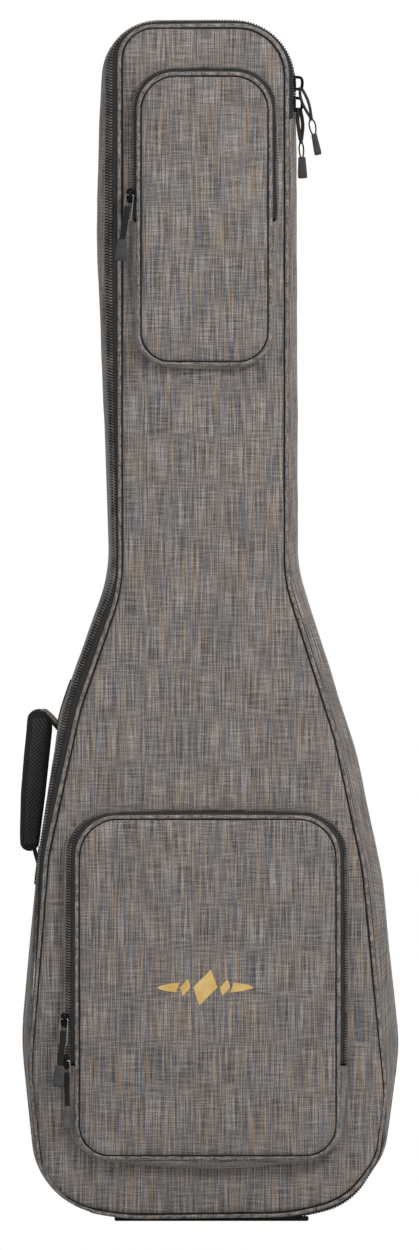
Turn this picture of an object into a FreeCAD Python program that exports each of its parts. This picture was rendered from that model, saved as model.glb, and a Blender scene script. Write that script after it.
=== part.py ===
import FreeCAD, Part
import math
import os
from FreeCAD import Vector

# Padded gig bag for a bass guitar, standing upright. Millimetres, +Z up, front faces -Y.
# The origin is the middle of the flat rest face under the base bumper.

# ---- driving dimensions ----
frontFace = -46.0  # outer face of the front panel
backFace = 46.0  # outer face of the back panel
coverThickness = 1.5
foamThickness = 10.5
liningThickness = 1.0
splitPlane = -32.0  # the main zip closes on this plane, and the lid turns about it
splitGap = 0.4
gussetWall = 7.0
gussetBack = 33.5
pipingWidth = 4.5
bumperHeight = 5.0
hingeTop = (97.5, 1150.0)  # two points of the lid's turning line, as x and z
hingeBottom = (193.5, 184.0)
zipRightEnd = 1141.0  # the main zip stops here on the right of the neck
zipLowEnd = 147.0  # and starts here on the right of the body
parkTop = 1187.0  # the joined teeth under the parked sliders end here

# Corners of the front seam and of the widest outline: x, z and corner radius, clockwise from top left.
seamCorners = [
    (-93, 1229, 33), (75, 1229, 49), (75, 659, 155), (126.5, 497.5, 200),
    (155, 364, 250), (178, 130, 82), (169, 65, 46), (140, 26, 52),
    (90.5, 11.5, 120), (-97, 8.5, 120), (-148, 20, 52), (-175, 50.5, 46),
    (-186.5, 155.5, 100), (-168.5, 376, 200), (-135.5, 527.5, 200), (-93, 650, 165),
    (-93, 1026, 300),
]
bagCorners = [
    (-112, 1237, 60), (86.5, 1237, 66), (88.5, 671.5, 155), (148, 485, 200),
    (176, 353, 200), (191.5, 184.5, 200), (178, 73, 52), (144, 18.5, 52),
    (90.5, bumperHeight, 100), (-97, bumperHeight, 100), (-154.5, 19.5, 52), (-182.5, 63, 52),
    (-195, 191.5, 200), (-179, 381, 200), (-156, 524.5, 155), (-105, 670.5, 155),
    (-119, 1026, 300),
]

# Pocket outlines: left, right, bottom, top, then the radius of the bottom and of the top corners.
upperSeam = (-73.5, 58, 885, 1179.5, 31, 36)
upperEdge = (-86.5, 69, 875.5, 1190, 36, 45)
lowerSeam = (-137, 128, 67, 415, 26, 21)
lowerEdge = (-155, 145.5, 52.5, 426.5, 40, 32)
upperFront = -66.0
lowerFront = -72.0
upperFold = 1030.0  # the pocket fronts fold down about these heights
lowerFold = 157.5
zipBand = 7.2  # width of the fixed half of a pocket zip
pocketWall = 5.0
panelSeam = 0.1  # gap where two panels of a pocket's wall are sewn together

# Sliders: x and z of the middle of each body
mainSliderA = (84.1, 1172.0)
mainSliderB = (84.1, 1150.5)
upperSlider = (-84.0, 1056.0)
lowerSliderA = (-151.8, 207.0)
lowerSliderB = (-151.2, 163.8)

os.makedirs("parts", exist_ok=True)


def save(name, shape):
    shape.exportStep("parts/" + name + ".step")


def box(x0, x1, y0, y1, z0, z1):
    return Part.makeBox(x1 - x0, y1 - y0, z1 - z0, Vector(x0, y0, z0))


def unit(a, b):
    length = math.hypot(b[0] - a[0], b[1] - a[1])
    return ((b[0] - a[0]) / length, (b[1] - a[1]) / length)


def parallel(corners, grow):
    """The corners of the outline that runs grow outside the given one."""
    moved = []
    for i, here in enumerate(corners):
        d1 = unit(corners[i - 1], here)
        d2 = unit(here, corners[(i + 1) % len(corners)])
        n1 = (-d1[1], d1[0])
        n2 = (-d2[1], d2[0])
        share = grow / (1 + n1[0] * n2[0] + n1[1] * n2[1])
        convex = d1[0] * d2[1] - d1[1] * d2[0] < 0
        radius = here[2] + grow if convex else here[2] - grow
        x = here[0] + share * (n1[0] + n2[0])
        z = here[1] + share * (n1[1] + n2[1])
        moved.append((x, z, max(radius, 0.5)))
    return moved


def between(inner, outer, share):
    """The corners a share of the way from one outline to another."""
    return [tuple(a + (b - a) * share for a, b in zip(p, q)) for p, q in zip(inner, outer)]


def outlineWire(corners, y):
    """A closed wire of straight runs and the arcs that round the corners."""
    ends = []
    for i, here in enumerate(corners):
        d1 = unit(corners[i - 1], here)
        d2 = unit(here, corners[(i + 1) % len(corners)])
        turn = math.acos(max(-1.0, min(1.0, d1[0] * d2[0] + d1[1] * d2[1])))
        if turn < 0.002:
            continue
        reach = here[2] * math.tan(turn / 2)
        start = Vector(here[0] - d1[0] * reach, y, here[1] - d1[1] * reach)
        end = Vector(here[0] + d2[0] * reach, y, here[1] + d2[1] * reach)
        inward = unit((0, 0), (d2[0] - d1[0], d2[1] - d1[1]))
        lift = here[2] / math.cos(turn / 2) - here[2]
        middle = Vector(here[0] + inward[0] * lift, y, here[1] + inward[1] * lift)
        ends.append((start, middle, end))
    edges = []
    for i, (start, middle, end) in enumerate(ends):
        edges.append(Part.Arc(start, middle, end).toShape())
        following = ends[(i + 1) % len(ends)][0]
        if end.distanceToPoint(following) > 0.01:
            edges.append(Part.LineSegment(end, following).toShape())
    return Part.Wire(edges)


def slab(corners, front, back):
    return Part.Face(outlineWire(corners, front)).extrude(Vector(0, back - front, 0))


def band(outer, inner, front, back):
    """A flat ring between two outlines."""
    return slab(outer, front, back).cut(slab(inner, front - 1, back + 1))


def rounded(left, right, bottom, top, lowRadius, topRadius):
    return [(left, top, topRadius), (right, top, topRadius), (right, bottom, lowRadius), (left, bottom, lowRadius)]


def above(shape, z):
    return shape.common(box(-400, 400, -200, 200, z, 1400))


def below(shape, z):
    return shape.common(box(-400, 400, -200, 200, -10, z))


# ---- case shell ----
zipIn = between(seamCorners, bagCorners, 0.45)
zipOut = between(seamCorners, bagCorners, 0.75)
hingeSide = box(0, 300, -60, 60, zipLowEnd, zipRightEnd)
parkSide = box(50, 300, -60, 60, zipRightEnd, parkTop)
panelBack = parallel(bagCorners, -5.3)


def caseShell():
    """The back panel's layers, the gusset around the sides and the zip half sewn to it."""
    lining = slab(parallel(bagCorners, -5.8), gussetBack, gussetBack + liningThickness)
    save("back_lining", lining)
    save("back_foam", slab(parallel(bagCorners, -6.3), gussetBack + liningThickness, backFace - coverThickness))
    save("back_cover", slab(panelBack, backFace - coverThickness, backFace))
    save("back_piping", band(parallel(bagCorners, -0.6), parallel(bagCorners, -5.1), 34.7, 39.2))
    inner = parallel(bagCorners, -gussetWall)
    wall = band(bagCorners, inner, -26.5, gussetBack)
    save("gusset_top", above(wall, zipRightEnd))
    save("gusset_bottom", below(wall, zipLowEnd))
    middle = wall.common(box(-400, 400, -60, 60, zipLowEnd, zipRightEnd))
    save("gusset_left", middle.common(box(-400, 0, -60, 60, 0, 1300)))
    tall = band(bagCorners, inner, splitPlane + splitGap / 2, gussetBack)
    save("gusset_right", tall.common(hingeSide))
    save("main_zip_tape_case", band(parallel(bagCorners, -0.5), zipIn, -27.8, -26.5).cut(hingeSide))
    coil = band(zipOut, zipIn, splitPlane + splitGap / 2, -27.8).cut(hingeSide).cut(parkSide)
    parked = band(zipOut, zipIn, -36.9, -27.8).common(parkSide)
    save("main_zip_coil_case", coil.fuse(parked).removeSplitter())
    bumper = box(-100.5, 100, -33, 42, 0, bumperHeight)
    ends = [e for e in bumper.Edges if abs(e.CenterOfMass.z - bumperHeight) < 0.01 and abs(e.CenterOfMass.x) > 90]
    save("base_bumper", bumper.makeChamfer(3, ends))


def inside():
    """What holds the instrument: a padded cradle for its neck, and a pad under its end."""
    front = -4.0
    cradle = box(-66, 50, front, gussetBack, 930, 992)
    channel = Part.makeCylinder(33, 80, Vector(-8, front, 920), Vector(0, 0, 1))
    save("neck_cradle", cradle.cut(channel))
    strap = box(-66, 50, front - 3.4, front - 0.2, 948, 974)
    save("neck_strap", strap)
    pad = box(-85, 75, -24, gussetBack, 12.5, 34)
    dip = box(-30, 20, -14, 22, 26, 40)
    save("end_pad", pad.cut(dip))


def carrying():
    """The side handle, the hanging loop and the sewn ends of the shoulder straps."""
    skin = band(parallel(bagCorners, 1.6), bagCorners, -8, 20)
    patches = []
    for low, high in ((512, 560), (350, 388)):
        patches.append(skin.common(box(-300, 0, -60, 60, low, high)))
    save("handle_base", Part.makeCompound(patches))
    loop = box(-36, 20, backFace, backFace + 13, 1150, 1180)
    loop = loop.cut(box(-33.4, 17.4, backFace - 1, backFace + 10.4, 1140, 1190))
    feet = box(-50, -33.4, backFace, backFace + 2.6, 1150, 1180)
    feet = feet.fuse(box(17.4, 34, backFace, backFace + 2.6, 1150, 1180))
    save("hanging_loop", loop.fuse(feet).removeSplitter())
    sewn = []
    for side in (-1, 1):
        sewn.append(box(side * 45 - 24, side * 45 + 24, backFace, backFace + 3, 824, 872))
        sewn.append(box(side * 112 - 20, side * 112 + 20, backFace, backFace + 3, 74, 112))
    save("strap_anchors", Part.makeCompound(sewn))


# ---- lid ----
def lidShell():
    """The front panel's layers, its piping and the zip half sewn to it."""
    coverBack = frontFace + coverThickness
    save("front_cover", slab(seamCorners, frontFace, coverBack))
    foam = slab(parallel(seamCorners, -0.5), coverBack, coverBack + foamThickness)
    save("front_foam", foam)
    liningFront = coverBack + foamThickness
    save("front_lining", slab(parallel(seamCorners, -1), liningFront, liningFront + liningThickness))
    save("front_piping", band(parallel(seamCorners, pipingWidth), seamCorners, -43, -38.5))
    open_ = hingeSide.fuse(box(50, 300, -60, 60, zipRightEnd - 1, parkTop + 0.6))
    tape = band(zipOut, parallel(seamCorners, 0.5), -38.5, -37.2)
    save("main_zip_tape_lid", tape.cut(open_))
    save("main_zip_coil_lid", band(zipOut, zipIn, -37.2, splitPlane - splitGap / 2).cut(open_))


def seamed(shape, left, right, bottom, top, lowRadius, topRadius):
    """The ring cut where its panels are sewn together: near both ends of each corner and twice between."""
    corners = (
        (right - topRadius, top - topRadius, 0), (left + topRadius, top - topRadius, 90),
        (left + lowRadius, bottom + lowRadius, 180), (right - lowRadius, bottom + lowRadius, 270),
    )
    for x, z, first in corners:
        for turn in (3, 31, 59, 87):
            cut = box(x, x + 80, -100, 0, z - panelSeam / 2, z + panelSeam / 2)
            cut.rotate(Vector(x, 0, z), Vector(0, -1, 0), first + turn)
            shape = shape.cut(cut)
    return shape


def pocket(name, seam, edge, face, fold, wallFront):
    """A zipped pocket: fixed wall and zip half, and a front that folds down."""
    seamLine = rounded(*seam)
    edgeLine = rounded(*edge)
    inner = parallel(edgeLine, -pocketWall)
    wall = seamed(band(edgeLine, inner, wallFront, frontFace), *edge)
    lipOuter = parallel(edgeLine, -pocketWall - panelSeam)
    lip = seamed(band(lipOuter, parallel(seamLine, -3), wallFront - 4, wallFront), *edge)
    save(name + "_wall", Part.makeCompound(wall.Solids + below(lip, fold - 0.4).Solids))
    bandInner = parallel(edgeLine, -zipBand)
    save(name + "_zip_outer", above(band(edgeLine, bandInner, wallFront - 4, wallFront), fold - 0.4))
    flapLine = parallel(edgeLine, -zipBand - 1.0)
    zipInner = band(flapLine, parallel(seamLine, -1), wallFront - 4, wallFront - 0.5)
    save(name.replace("pocket", "flap") + "_zip", above(zipInner, fold + 0.4))
    panelBackY = wallFront - 4
    whole = slab(seamLine, face, panelBackY)
    save(name + "_panel", below(whole, fold - 0.4))
    save(name.replace("pocket", "flap") + "_panel", above(whole, fold + 0.4))
    piping = band(parallel(seamLine, 4.3), seamLine, panelBackY - 4.5, panelBackY)
    save(name.replace("pocket", "flap") + "_piping", above(piping, fold + 0.4))


# ---- sliders and pullers ----
def archAt(x, y, z, along, outward):
    """A bail: a small bridge over the slider's body. along and outward are unit vectors."""
    across = along.cross(outward)
    base = Vector(x, y, z)

    def block(u0, u1, v0, v1, w):
        low = base + along * u0 + outward * v0 - across * w
        edges = [low, low + along * (u1 - u0), low + along * (u1 - u0) + outward * (v1 - v0)]
        edges.append(low + outward * (v1 - v0))
        return Part.Face(Part.makePolygon(edges + [low])).extrude(across * (2 * w))

    return block(-6, 6, 0, 4.4, 1.3).cut(block(-4, 4, 0, 2.8, 3))


def mainSlider(name, at, bailY):
    x, z = at
    plate = box(x, x + 2.4, splitPlane - 6, splitPlane + 3.8, z - 8.5, z + 8.5)
    edges = [e for e in plate.Edges if abs(e.CenterOfMass.x - x - 1.2) < 0.1]
    plate = plate.makeFillet(2, edges)
    bail = archAt(x + 2.4, bailY, z, Vector(0, 0, 1), Vector(1, 0, 0))
    save(name, plate.fuse(bail).removeSplitter())


def pocketSlider(name, at, coilFront):
    x, z = at
    face = coilFront - 0.4
    plate = box(x - 4, x + 4, face - 2.3, face, z - 7.5, z + 7.5)
    edges = [e for e in plate.Edges if abs(e.CenterOfMass.y - face + 1.15) < 0.1]
    plate = plate.makeFillet(1.8, edges)
    bail = archAt(x, face - 2.3, z, Vector(0, 0, 1), Vector(0, -1, 0))
    save(name, plate.fuse(bail).removeSplitter())


def rod(a, b, radius):
    """A round rod with ball ends."""
    line = b - a
    shape = Part.makeCylinder(radius, line.Length, a, line)
    return shape.fuse(Part.makeSphere(radius, a)).fuse(Part.makeSphere(radius, b))


def gripBlock(top, down, side, length, width, thickness):
    """A moulded rubber grip, wider at its lower end."""
    facing = down.cross(side)
    corners = []
    for along, half in ((0, width * 0.36), (length * 0.3, width / 2), (length, width / 2)):
        corners.append(top + down * along + side * half)
    for along, half in ((length, width / 2), (length * 0.3, width / 2), (0, width * 0.36)):
        corners.append(top + down * along - side * half)
    corners = [c - facing * (thickness / 2) for c in corners]
    block = Part.Face(Part.makePolygon(corners + [corners[0]])).extrude(facing * thickness)
    return block.makeFillet(1.2, block.Edges)


def mainPuller(name, at, bailY, reach, drift):
    """A thin cord looped through the bail, knotted, and moulded into a grip."""
    pivot = Vector(at[0] + 2.4 + 1.5, bailY, at[1])
    knot = pivot + Vector(reach[0], drift, reach[1])
    down = Vector(reach[0] * 0.5, 0, reach[1]).normalize()
    left = pivot + Vector(0, -3.6, 0)
    right = pivot + Vector(0, 3.6, 0)
    gripTop = knot + down * 18
    strands = [Part.makeCylinder(1.0, (knot - end).Length, end, knot - end) for end in (left, right)]
    strands.append(Part.makeSphere(3.0, knot))
    strands.append(Part.makeCylinder(1.6, 18, knot, down))
    save(name + "_cord", rod(left, right, 1.05).multiFuse(strands))
    side = Vector(0, 1, 0).cross(down)
    save(name + "_grip", gripBlock(gripTop, down, side, 20.5, 9, 6))


def pocketPuller(name, at, coilFront, lean, shift, gripWidth):
    """A flat steel tab on the bail, a cord through its end, and a grip."""
    pivot = Vector(at[0], coilFront - 0.4 - 2.3 - 1.5, at[1])
    down = Vector(shift, lean, -1).normalize()
    side = Vector(1, 0, 0)
    side = (side - down * side.dot(down)).normalize()
    facing = down.cross(side)

    def plate(u0, u1, w, t):
        low = pivot + down * u0 - side * w - facing * t
        ring = [low, low + side * (2 * w), low + side * (2 * w) + down * (u1 - u0), low + down * (u1 - u0), low]
        return Part.Face(Part.makePolygon(ring)).extrude(facing * (2 * t))

    tab = plate(-0.7, 25, 3.8, 0.7).cut(plate(0.7, 9.5, 2.6, 2)).cut(plate(19.5, 23, 1.6, 2))
    save(name + "_tab", tab)
    start = pivot + down * 25
    cordLength = 22.0
    save(name + "_cord", Part.makeCylinder(1.5, cordLength, start, down))
    save(name + "_grip", gripBlock(start + down * cordLength, down, side, 21, gripWidth, 5.4))


# ---- handle ----
def handle():
    """A webbing grip with a padded sleeve, fastened above and below on the left of the body."""
    top = Vector(-180.5, 6, 508)
    low = Vector(-194, 6, 400)
    down = (low - top).normalize()
    side = Vector(0, 1, 0).cross(down)

    def bar(a, b, width, thick):
        half = side * (width / 2)
        deep = Vector(0, thick / 2, 0)
        ring = [a - half - deep, a + half - deep, b + half - deep, b - half - deep, a - half - deep]
        return Part.Face(Part.makePolygon(ring)).extrude(deep * 2)

    pad = bar(top - down * 10, low + down * 8, 18, 13)
    long = [e for e in pad.Edges if e.Length > 50]
    pad = pad.makeFillet(5, long)
    upper = bar(top - down * 9, Vector(-164, 6, 534), 10, 3)
    lower = bar(low + down * 7, Vector(-189.5, 6, 376), 10, 3)
    save("handle", pad.fuse(upper).fuse(lower).removeSplitter())


# ---- shoulder straps ----
def shoulderStrap(name, side):
    """A padded strap that bows off the back, with webbing through a buckle below it."""
    top = Vector(side * 45, backFace, 850)
    end = Vector(side * 112, backFace, 92)
    chord = end - top
    length = chord.Length
    along = Vector(chord).normalize()
    off = Vector(0, 1, 0)
    across = along.cross(off)
    rise = 46.0  # how far the strap stands off the back at its middle
    radius = length * length / (8 * rise) + rise / 2

    def layer(s0, s1, h0, h1, width):
        def point(s, h):
            turn = math.asin((s - length / 2) / radius)
            r = radius + h
            lift = r * math.cos(turn) - radius + rise
            return top + along * (length / 2 + r * math.sin(turn)) + off * lift - across * (width / 2)

        mid = (s0 + s1) / 2
        low = Part.Arc(point(s0, h0), point(mid, h0), point(s1, h0)).toShape()
        high = Part.Arc(point(s1, h1), point(mid, h1), point(s0, h1)).toShape()
        sides = [Part.LineSegment(point(s1, h0), point(s1, h1)).toShape()]
        sides.append(Part.LineSegment(point(s0, h1), point(s0, h0)).toShape())
        return Part.Face(Part.Wire([low, sides[0], high, sides[1]])).extrude(across * width)

    save("shoulder_pad_" + name, layer(40, 440, 0, 11, 62))
    save("strap_webbing_" + name, layer(440, 735, 3, 5.2, 25))
    frame = layer(448, 482, 0.6, 9, 36)
    buckle = frame.cut(layer(440, 490, 2.6, 7.4, 28))
    save("strap_buckle_" + name, buckle)


caseShell()
inside()
carrying()
lidShell()
pocket("upper_pocket", upperSeam, upperEdge, upperFront, upperFold, -53.0)
pocket("lower_pocket", lowerSeam, lowerEdge, lowerFront, lowerFold, -57.0)
mainSlider("main_slider_a", mainSliderA, splitPlane - 2.6)
mainSlider("main_slider_b", mainSliderB, splitPlane + 2.2)
pocketSlider("upper_slider", upperSlider, -57.0)
pocketSlider("lower_slider_a", lowerSliderA, -61.0)
pocketSlider("lower_slider_b", lowerSliderB, -61.0)
mainPuller("main_puller_a", mainSliderA, splitPlane - 2.6, (14, -36), -3.4)
mainPuller("main_puller_b", mainSliderB, splitPlane + 2.2, (3.5, -38), 3.4)
pocketPuller("upper_puller", upperSlider, -57.0, -0.06, -0.12, 12)
pocketPuller("lower_puller_a", lowerSliderA, -61.0, -0.2, -0.21, 12)
pocketPuller("lower_puller_b", lowerSliderB, -61.0, 0.0, 0.0, 12)
handle()
shoulderStrap("left", -1)
shoulderStrap("right", 1)
print("nodes", len(os.listdir("parts")))
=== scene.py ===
import bpy
import bmesh
import math
import numpy as np
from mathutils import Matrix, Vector, noise
from mathutils.bvhtree import BVHTree
from mathutils.geometry import delaunay_2d_cdt


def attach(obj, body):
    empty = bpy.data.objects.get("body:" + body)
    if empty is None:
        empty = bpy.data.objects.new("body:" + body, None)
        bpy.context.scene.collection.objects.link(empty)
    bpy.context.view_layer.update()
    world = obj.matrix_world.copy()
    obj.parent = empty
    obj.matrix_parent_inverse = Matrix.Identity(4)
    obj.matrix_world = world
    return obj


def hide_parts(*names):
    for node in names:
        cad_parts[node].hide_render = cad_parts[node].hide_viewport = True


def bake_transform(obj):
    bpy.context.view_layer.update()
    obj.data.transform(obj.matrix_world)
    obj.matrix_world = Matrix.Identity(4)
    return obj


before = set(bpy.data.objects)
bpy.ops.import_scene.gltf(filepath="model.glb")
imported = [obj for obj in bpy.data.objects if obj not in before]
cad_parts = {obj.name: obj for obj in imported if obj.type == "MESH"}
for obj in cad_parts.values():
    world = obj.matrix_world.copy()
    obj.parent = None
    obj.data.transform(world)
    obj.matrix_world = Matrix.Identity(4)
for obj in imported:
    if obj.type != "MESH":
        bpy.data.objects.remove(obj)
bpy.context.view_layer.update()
mm = 0.001
print("frame loaded,", len(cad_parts), "CAD nodes")

# Outlines of the bag: x, z and corner radius in mm, clockwise from the top left.
bag = {
    "seam": [
        (-93, 1229, 33), (75, 1229, 49), (75, 659, 155), (126.5, 497.5, 200),
        (155, 364, 250), (178, 130, 82), (169, 65, 54), (140, 26, 72),
        (90.5, 8.4, 200), (-97, 6.2, 240), (-148, 18.5, 78), (-175, 50.5, 48),
        (-186.5, 155.5, 300), (-168.5, 376, 200), (-135.5, 527.5, 200), (-93, 650, 165),
        (-93, 1026, 300),
    ],
    "widest": [
        (-112, 1237, 60), (86.5, 1237, 66), (88.5, 671.5, 155), (148, 485, 200),
        (176, 353, 200), (191.5, 184.5, 200), (178, 73, 60), (144, 18.5, 68),
        (90.5, 2.8, 220), (-97, 2.8, 220), (-154.5, 18, 80), (-182.5, 63, 80),
        (-195, 191.5, 300), (-179, 381, 200), (-156, 524.5, 155), (-105, 670.5, 155),
        (-119, 1026, 300),
    ],
    "spacing": 5.0,  # between points along the outline
    "zipTop": 1141,  # the hinge side lies between these heights on the right
    "zipLow": 147,
}


# Colours and materials

def toLinear(code):
    parts = [int(code[i:i + 2], 16) / 255 for i in (1, 3, 5)]
    return tuple(p / 12.92 if p <= 0.04045 else ((p + 0.055) / 1.055) ** 2.4 for p in parts) + (1.0,)


def addNode(tree, kind, inputs=None, **settings):
    node = tree.nodes.new(kind)
    for key, value in settings.items():
        setattr(node, key, value)
    for key, value in (inputs or {}).items():
        if isinstance(value, bpy.types.NodeSocket):
            tree.links.new(value, node.inputs[key])
        else:
            node.inputs[key].default_value = value
    return node


def newMaterial(name, roughness=0.6, **sockets):
    material = bpy.data.materials.new(name)
    material.use_nodes = True
    shader = material.node_tree.nodes["Principled BSDF"]
    shader.inputs["Roughness"].default_value = roughness
    for key, value in sockets.items():
        shader.inputs[key.replace("_", " ")].default_value = value
    return material, material.node_tree, shader


def rampOf(tree, factor, stops, interpolation="LINEAR"):
    node = addNode(tree, "ShaderNodeValToRGB", {"Fac": factor})
    node.color_ramp.interpolation = interpolation
    elements = node.color_ramp.elements
    while len(elements) < len(stops):
        elements.new(0.5)
    for element, (place, code) in zip(elements, stops):
        element.position = place
        element.color = toLinear(code)
    return node.outputs["Color"]


def threadNoise(tree, source, across, along, seed=0.0, detail=2.0):
    # noise stretched into threads: across and along are a thread's width and length in mm
    mapped = addNode(tree, "ShaderNodeMapping", {
        "Vector": source, "Location": (seed, seed * 0.7, 0), "Scale": (1 / (across * mm), 1 / (along * mm), 1)})
    node = addNode(tree, "ShaderNodeTexNoise", {
        "Vector": mapped.outputs["Vector"], "Scale": 1.0, "Detail": detail, "Roughness": 0.55})
    return node.outputs["Fac"]


def mixColour(tree, factor, a, b, blend="MIX"):
    node = addNode(tree, "ShaderNodeMix", data_type="RGBA", blend_type=blend)
    for key, value in ((0, factor), (6, a), (7, b)):
        if isinstance(value, bpy.types.NodeSocket):
            tree.links.new(value, node.inputs[key])
        else:
            node.inputs[key].default_value = value
    return node.outputs[2]


def sumOf(tree, a, b, operation="ADD"):
    node = addNode(tree, "ShaderNodeMath", operation=operation)
    for key, value in ((0, a), (1, b)):
        if isinstance(value, bpy.types.NodeSocket):
            tree.links.new(value, node.inputs[key])
        else:
            node.inputs[key].default_value = value
    return node.outputs[0]


cloth = {
    "shadow": "#322e2d", "base": "#8a8481", "light": "#ddd5cd",  # from thin to thick threads
    "beige": "#c8ae92", "blueGrey": "#858894", "dark": "#3b3736",
    "warp": (1.35, 48), "weft": (26, 1.35),  # a visible thread's width and length in mm
    "relief": 0.35,
}


def heatherCloth(name, warp=cloth["warp"], weft=cloth["weft"]):
    # 600 denier heather polyester: slubs of beige, blue-grey and charcoal yarn, dull with a slight sheen.
    # Its 0.4 mm threads are too fine to show, so the slubs are drawn 1.3 mm wide.
    material, tree, shader = newMaterial(name, 0.88, Sheen_Weight=0.12, Sheen_Roughness=0.6)
    uv = addNode(tree, "ShaderNodeUVMap", uv_map="UVMap").outputs["UV"]
    upright = threadNoise(tree, uv, *warp, seed=3.1, detail=3.0)
    level = threadNoise(tree, uv, *weft, seed=7.7, detail=3.0)
    uprightHue = threadNoise(tree, uv, warp[0] * 0.8, warp[1] * 1.2, seed=11.3, detail=0.0)
    levelHue = threadNoise(tree, uv, weft[0] * 1.5, weft[1] * 1.15, seed=17.9)
    grain = threadNoise(tree, uv, 0.9, 0.9, seed=23.0, detail=2.0)
    stops = ((0.38, cloth["shadow"]), (0.5, cloth["base"]), (0.61, cloth["light"]))
    uprightColour = rampOf(tree, upright, stops)
    levelColour = rampOf(tree, level, stops)
    woven = mixColour(tree, 0.38, uprightColour, levelColour)
    beige = rampOf(tree, uprightHue, ((0.52, "#000000"), (0.64, "#ffffff")))
    blue = rampOf(tree, uprightHue, ((0.36, "#ffffff"), (0.48, "#000000")))
    dark = rampOf(tree, levelHue, ((0.30, "#ffffff"), (0.40, "#000000")))
    woven = mixColour(tree, sumOf(tree, beige, 0.5, "MULTIPLY"), woven, toLinear(cloth["beige"]))
    woven = mixColour(tree, sumOf(tree, blue, 0.5, "MULTIPLY"), woven, toLinear(cloth["blueGrey"]))
    woven = mixColour(tree, sumOf(tree, dark, 0.38, "MULTIPLY"), woven, toLinear(cloth["dark"]))
    speckle = rampOf(tree, grain, ((0.3, "#8a8a8a"), (0.7, "#ffffff")))
    woven = mixColour(tree, 1.0, woven, speckle, "MULTIPLY")
    patches = threadNoise(tree, uv, 60, 90, seed=31.0)
    woven = mixColour(tree, 1.0, woven, rampOf(tree, patches, ((0.3, "#ececec"), (0.7, "#ffffff"))), "MULTIPLY")
    tree.links.new(woven, shader.inputs["Base Color"])
    height = sumOf(tree, sumOf(tree, upright, level), grain)
    bump = addNode(tree, "ShaderNodeBump", {"Height": height, "Strength": cloth["relief"], "Distance": 0.5 * mm})
    tree.links.new(bump.outputs["Normal"], shader.inputs["Normal"])
    return material


def wovenBand(name, low, high, pitch=1.1, roughness=0.7, relief=0.4):
    # polyester tape or webbing: rows of herringbone ribs, flat black with a soft shine on the ribs
    material, tree, shader = newMaterial(name, roughness, Sheen_Weight=0.05)
    uv = addNode(tree, "ShaderNodeUVMap", uv_map="UVMap").outputs["UV"]
    mapped = addNode(tree, "ShaderNodeMapping", {"Vector": uv, "Scale": (1, 1, 1)})
    wave = addNode(tree, "ShaderNodeTexWave", {
        "Vector": mapped.outputs["Vector"], "Scale": 1 / (pitch * mm) / 6.2832 * 2, "Distortion": 0.6,
        "Detail": 1.0}, wave_type="BANDS", bands_direction="DIAGONAL")
    grain = threadNoise(tree, uv, 0.8, 2.2, seed=5.0)
    both = sumOf(tree, sumOf(tree, wave.outputs["Fac"], 0.6, "MULTIPLY"), grain)
    colour = rampOf(tree, both, ((0.25, low), (1.0, high)))
    tree.links.new(colour, shader.inputs["Base Color"])
    bump = addNode(tree, "ShaderNodeBump", {"Height": both, "Strength": relief, "Distance": 0.4 * mm})
    tree.links.new(bump.outputs["Normal"], shader.inputs["Normal"])
    return material


def moulded(name, colour, light, roughness, grainSize=1.2, relief=0.12, **sockets):
    # moulded plastic or rubber: an even colour, a fine spark-eroded grain, and broad patches a little lighter at random
    material, tree, shader = newMaterial(name, roughness, **sockets)
    place = addNode(tree, "ShaderNodeTexCoord").outputs["Object"]
    grain = addNode(tree, "ShaderNodeTexNoise", {"Vector": place, "Scale": 1 / (grainSize * mm), "Detail": 3.0})
    wear = addNode(tree, "ShaderNodeTexNoise", {"Vector": place, "Scale": 1 / (14 * mm), "Detail": 2.0})
    colourOut = rampOf(tree, wear.outputs["Fac"], ((0.35, colour), (0.75, light)))
    tree.links.new(colourOut, shader.inputs["Base Color"])
    bump = addNode(tree, "ShaderNodeBump", {
        "Height": grain.outputs["Fac"], "Strength": relief, "Distance": 0.2 * mm})
    tree.links.new(bump.outputs["Normal"], shader.inputs["Normal"])
    return material


def liningCloth(name):
    # brushed nylon pile: charcoal, soft, light catching the pile
    material, tree, shader = newMaterial(name, 0.95, Sheen_Weight=0.35, Sheen_Roughness=0.4)
    place = addNode(tree, "ShaderNodeTexCoord").outputs["Object"]
    pile = addNode(tree, "ShaderNodeTexNoise", {"Vector": place, "Scale": 900.0, "Detail": 4.0})
    brushed = addNode(tree, "ShaderNodeTexNoise", {"Vector": place, "Scale": 22.0, "Detail": 3.0})
    both = sumOf(tree, sumOf(tree, pile.outputs["Fac"], 0.4, "MULTIPLY"),
                 sumOf(tree, brushed.outputs["Fac"], 0.6, "MULTIPLY"))
    tree.links.new(rampOf(tree, both, ((0.3, "#26262a"), (0.7, "#43434a"))), shader.inputs["Base Color"])
    bump = addNode(tree, "ShaderNodeBump", {"Height": pile.outputs["Fac"], "Strength": 0.3, "Distance": 0.4 * mm})
    tree.links.new(bump.outputs["Normal"], shader.inputs["Normal"])
    return material


heather = heatherCloth("heatherPolyester")
heatherPiping = heatherCloth("heatherPiping", warp=(1.6, 9), weft=(8, 1.6))
tapeCloth = wovenBand("zipTapePolyester", "#151414", "#272626", pitch=1.2)
# painted highlight: the nylon coil is black, and its teeth are coloured mid grey to stand for the glints on them
coilNylonGlint = moulded("coilNylonGlint", "#4c4947", "#7d7976", 0.24, relief=0.05)
# near black: painted shade in the seam grooves, and the black bed under the zip teeth
seamShadeAndZipBed = moulded("seamShadeAndZipBedBlack", "#070707", "#101010", 0.9, relief=0.1)
lining = liningCloth("brushedNylonLining")
print("materials ready")


# Meshes

def newMesh():
    return {"verts": [], "faces": [], "uvs": [], "slots": []}


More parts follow.
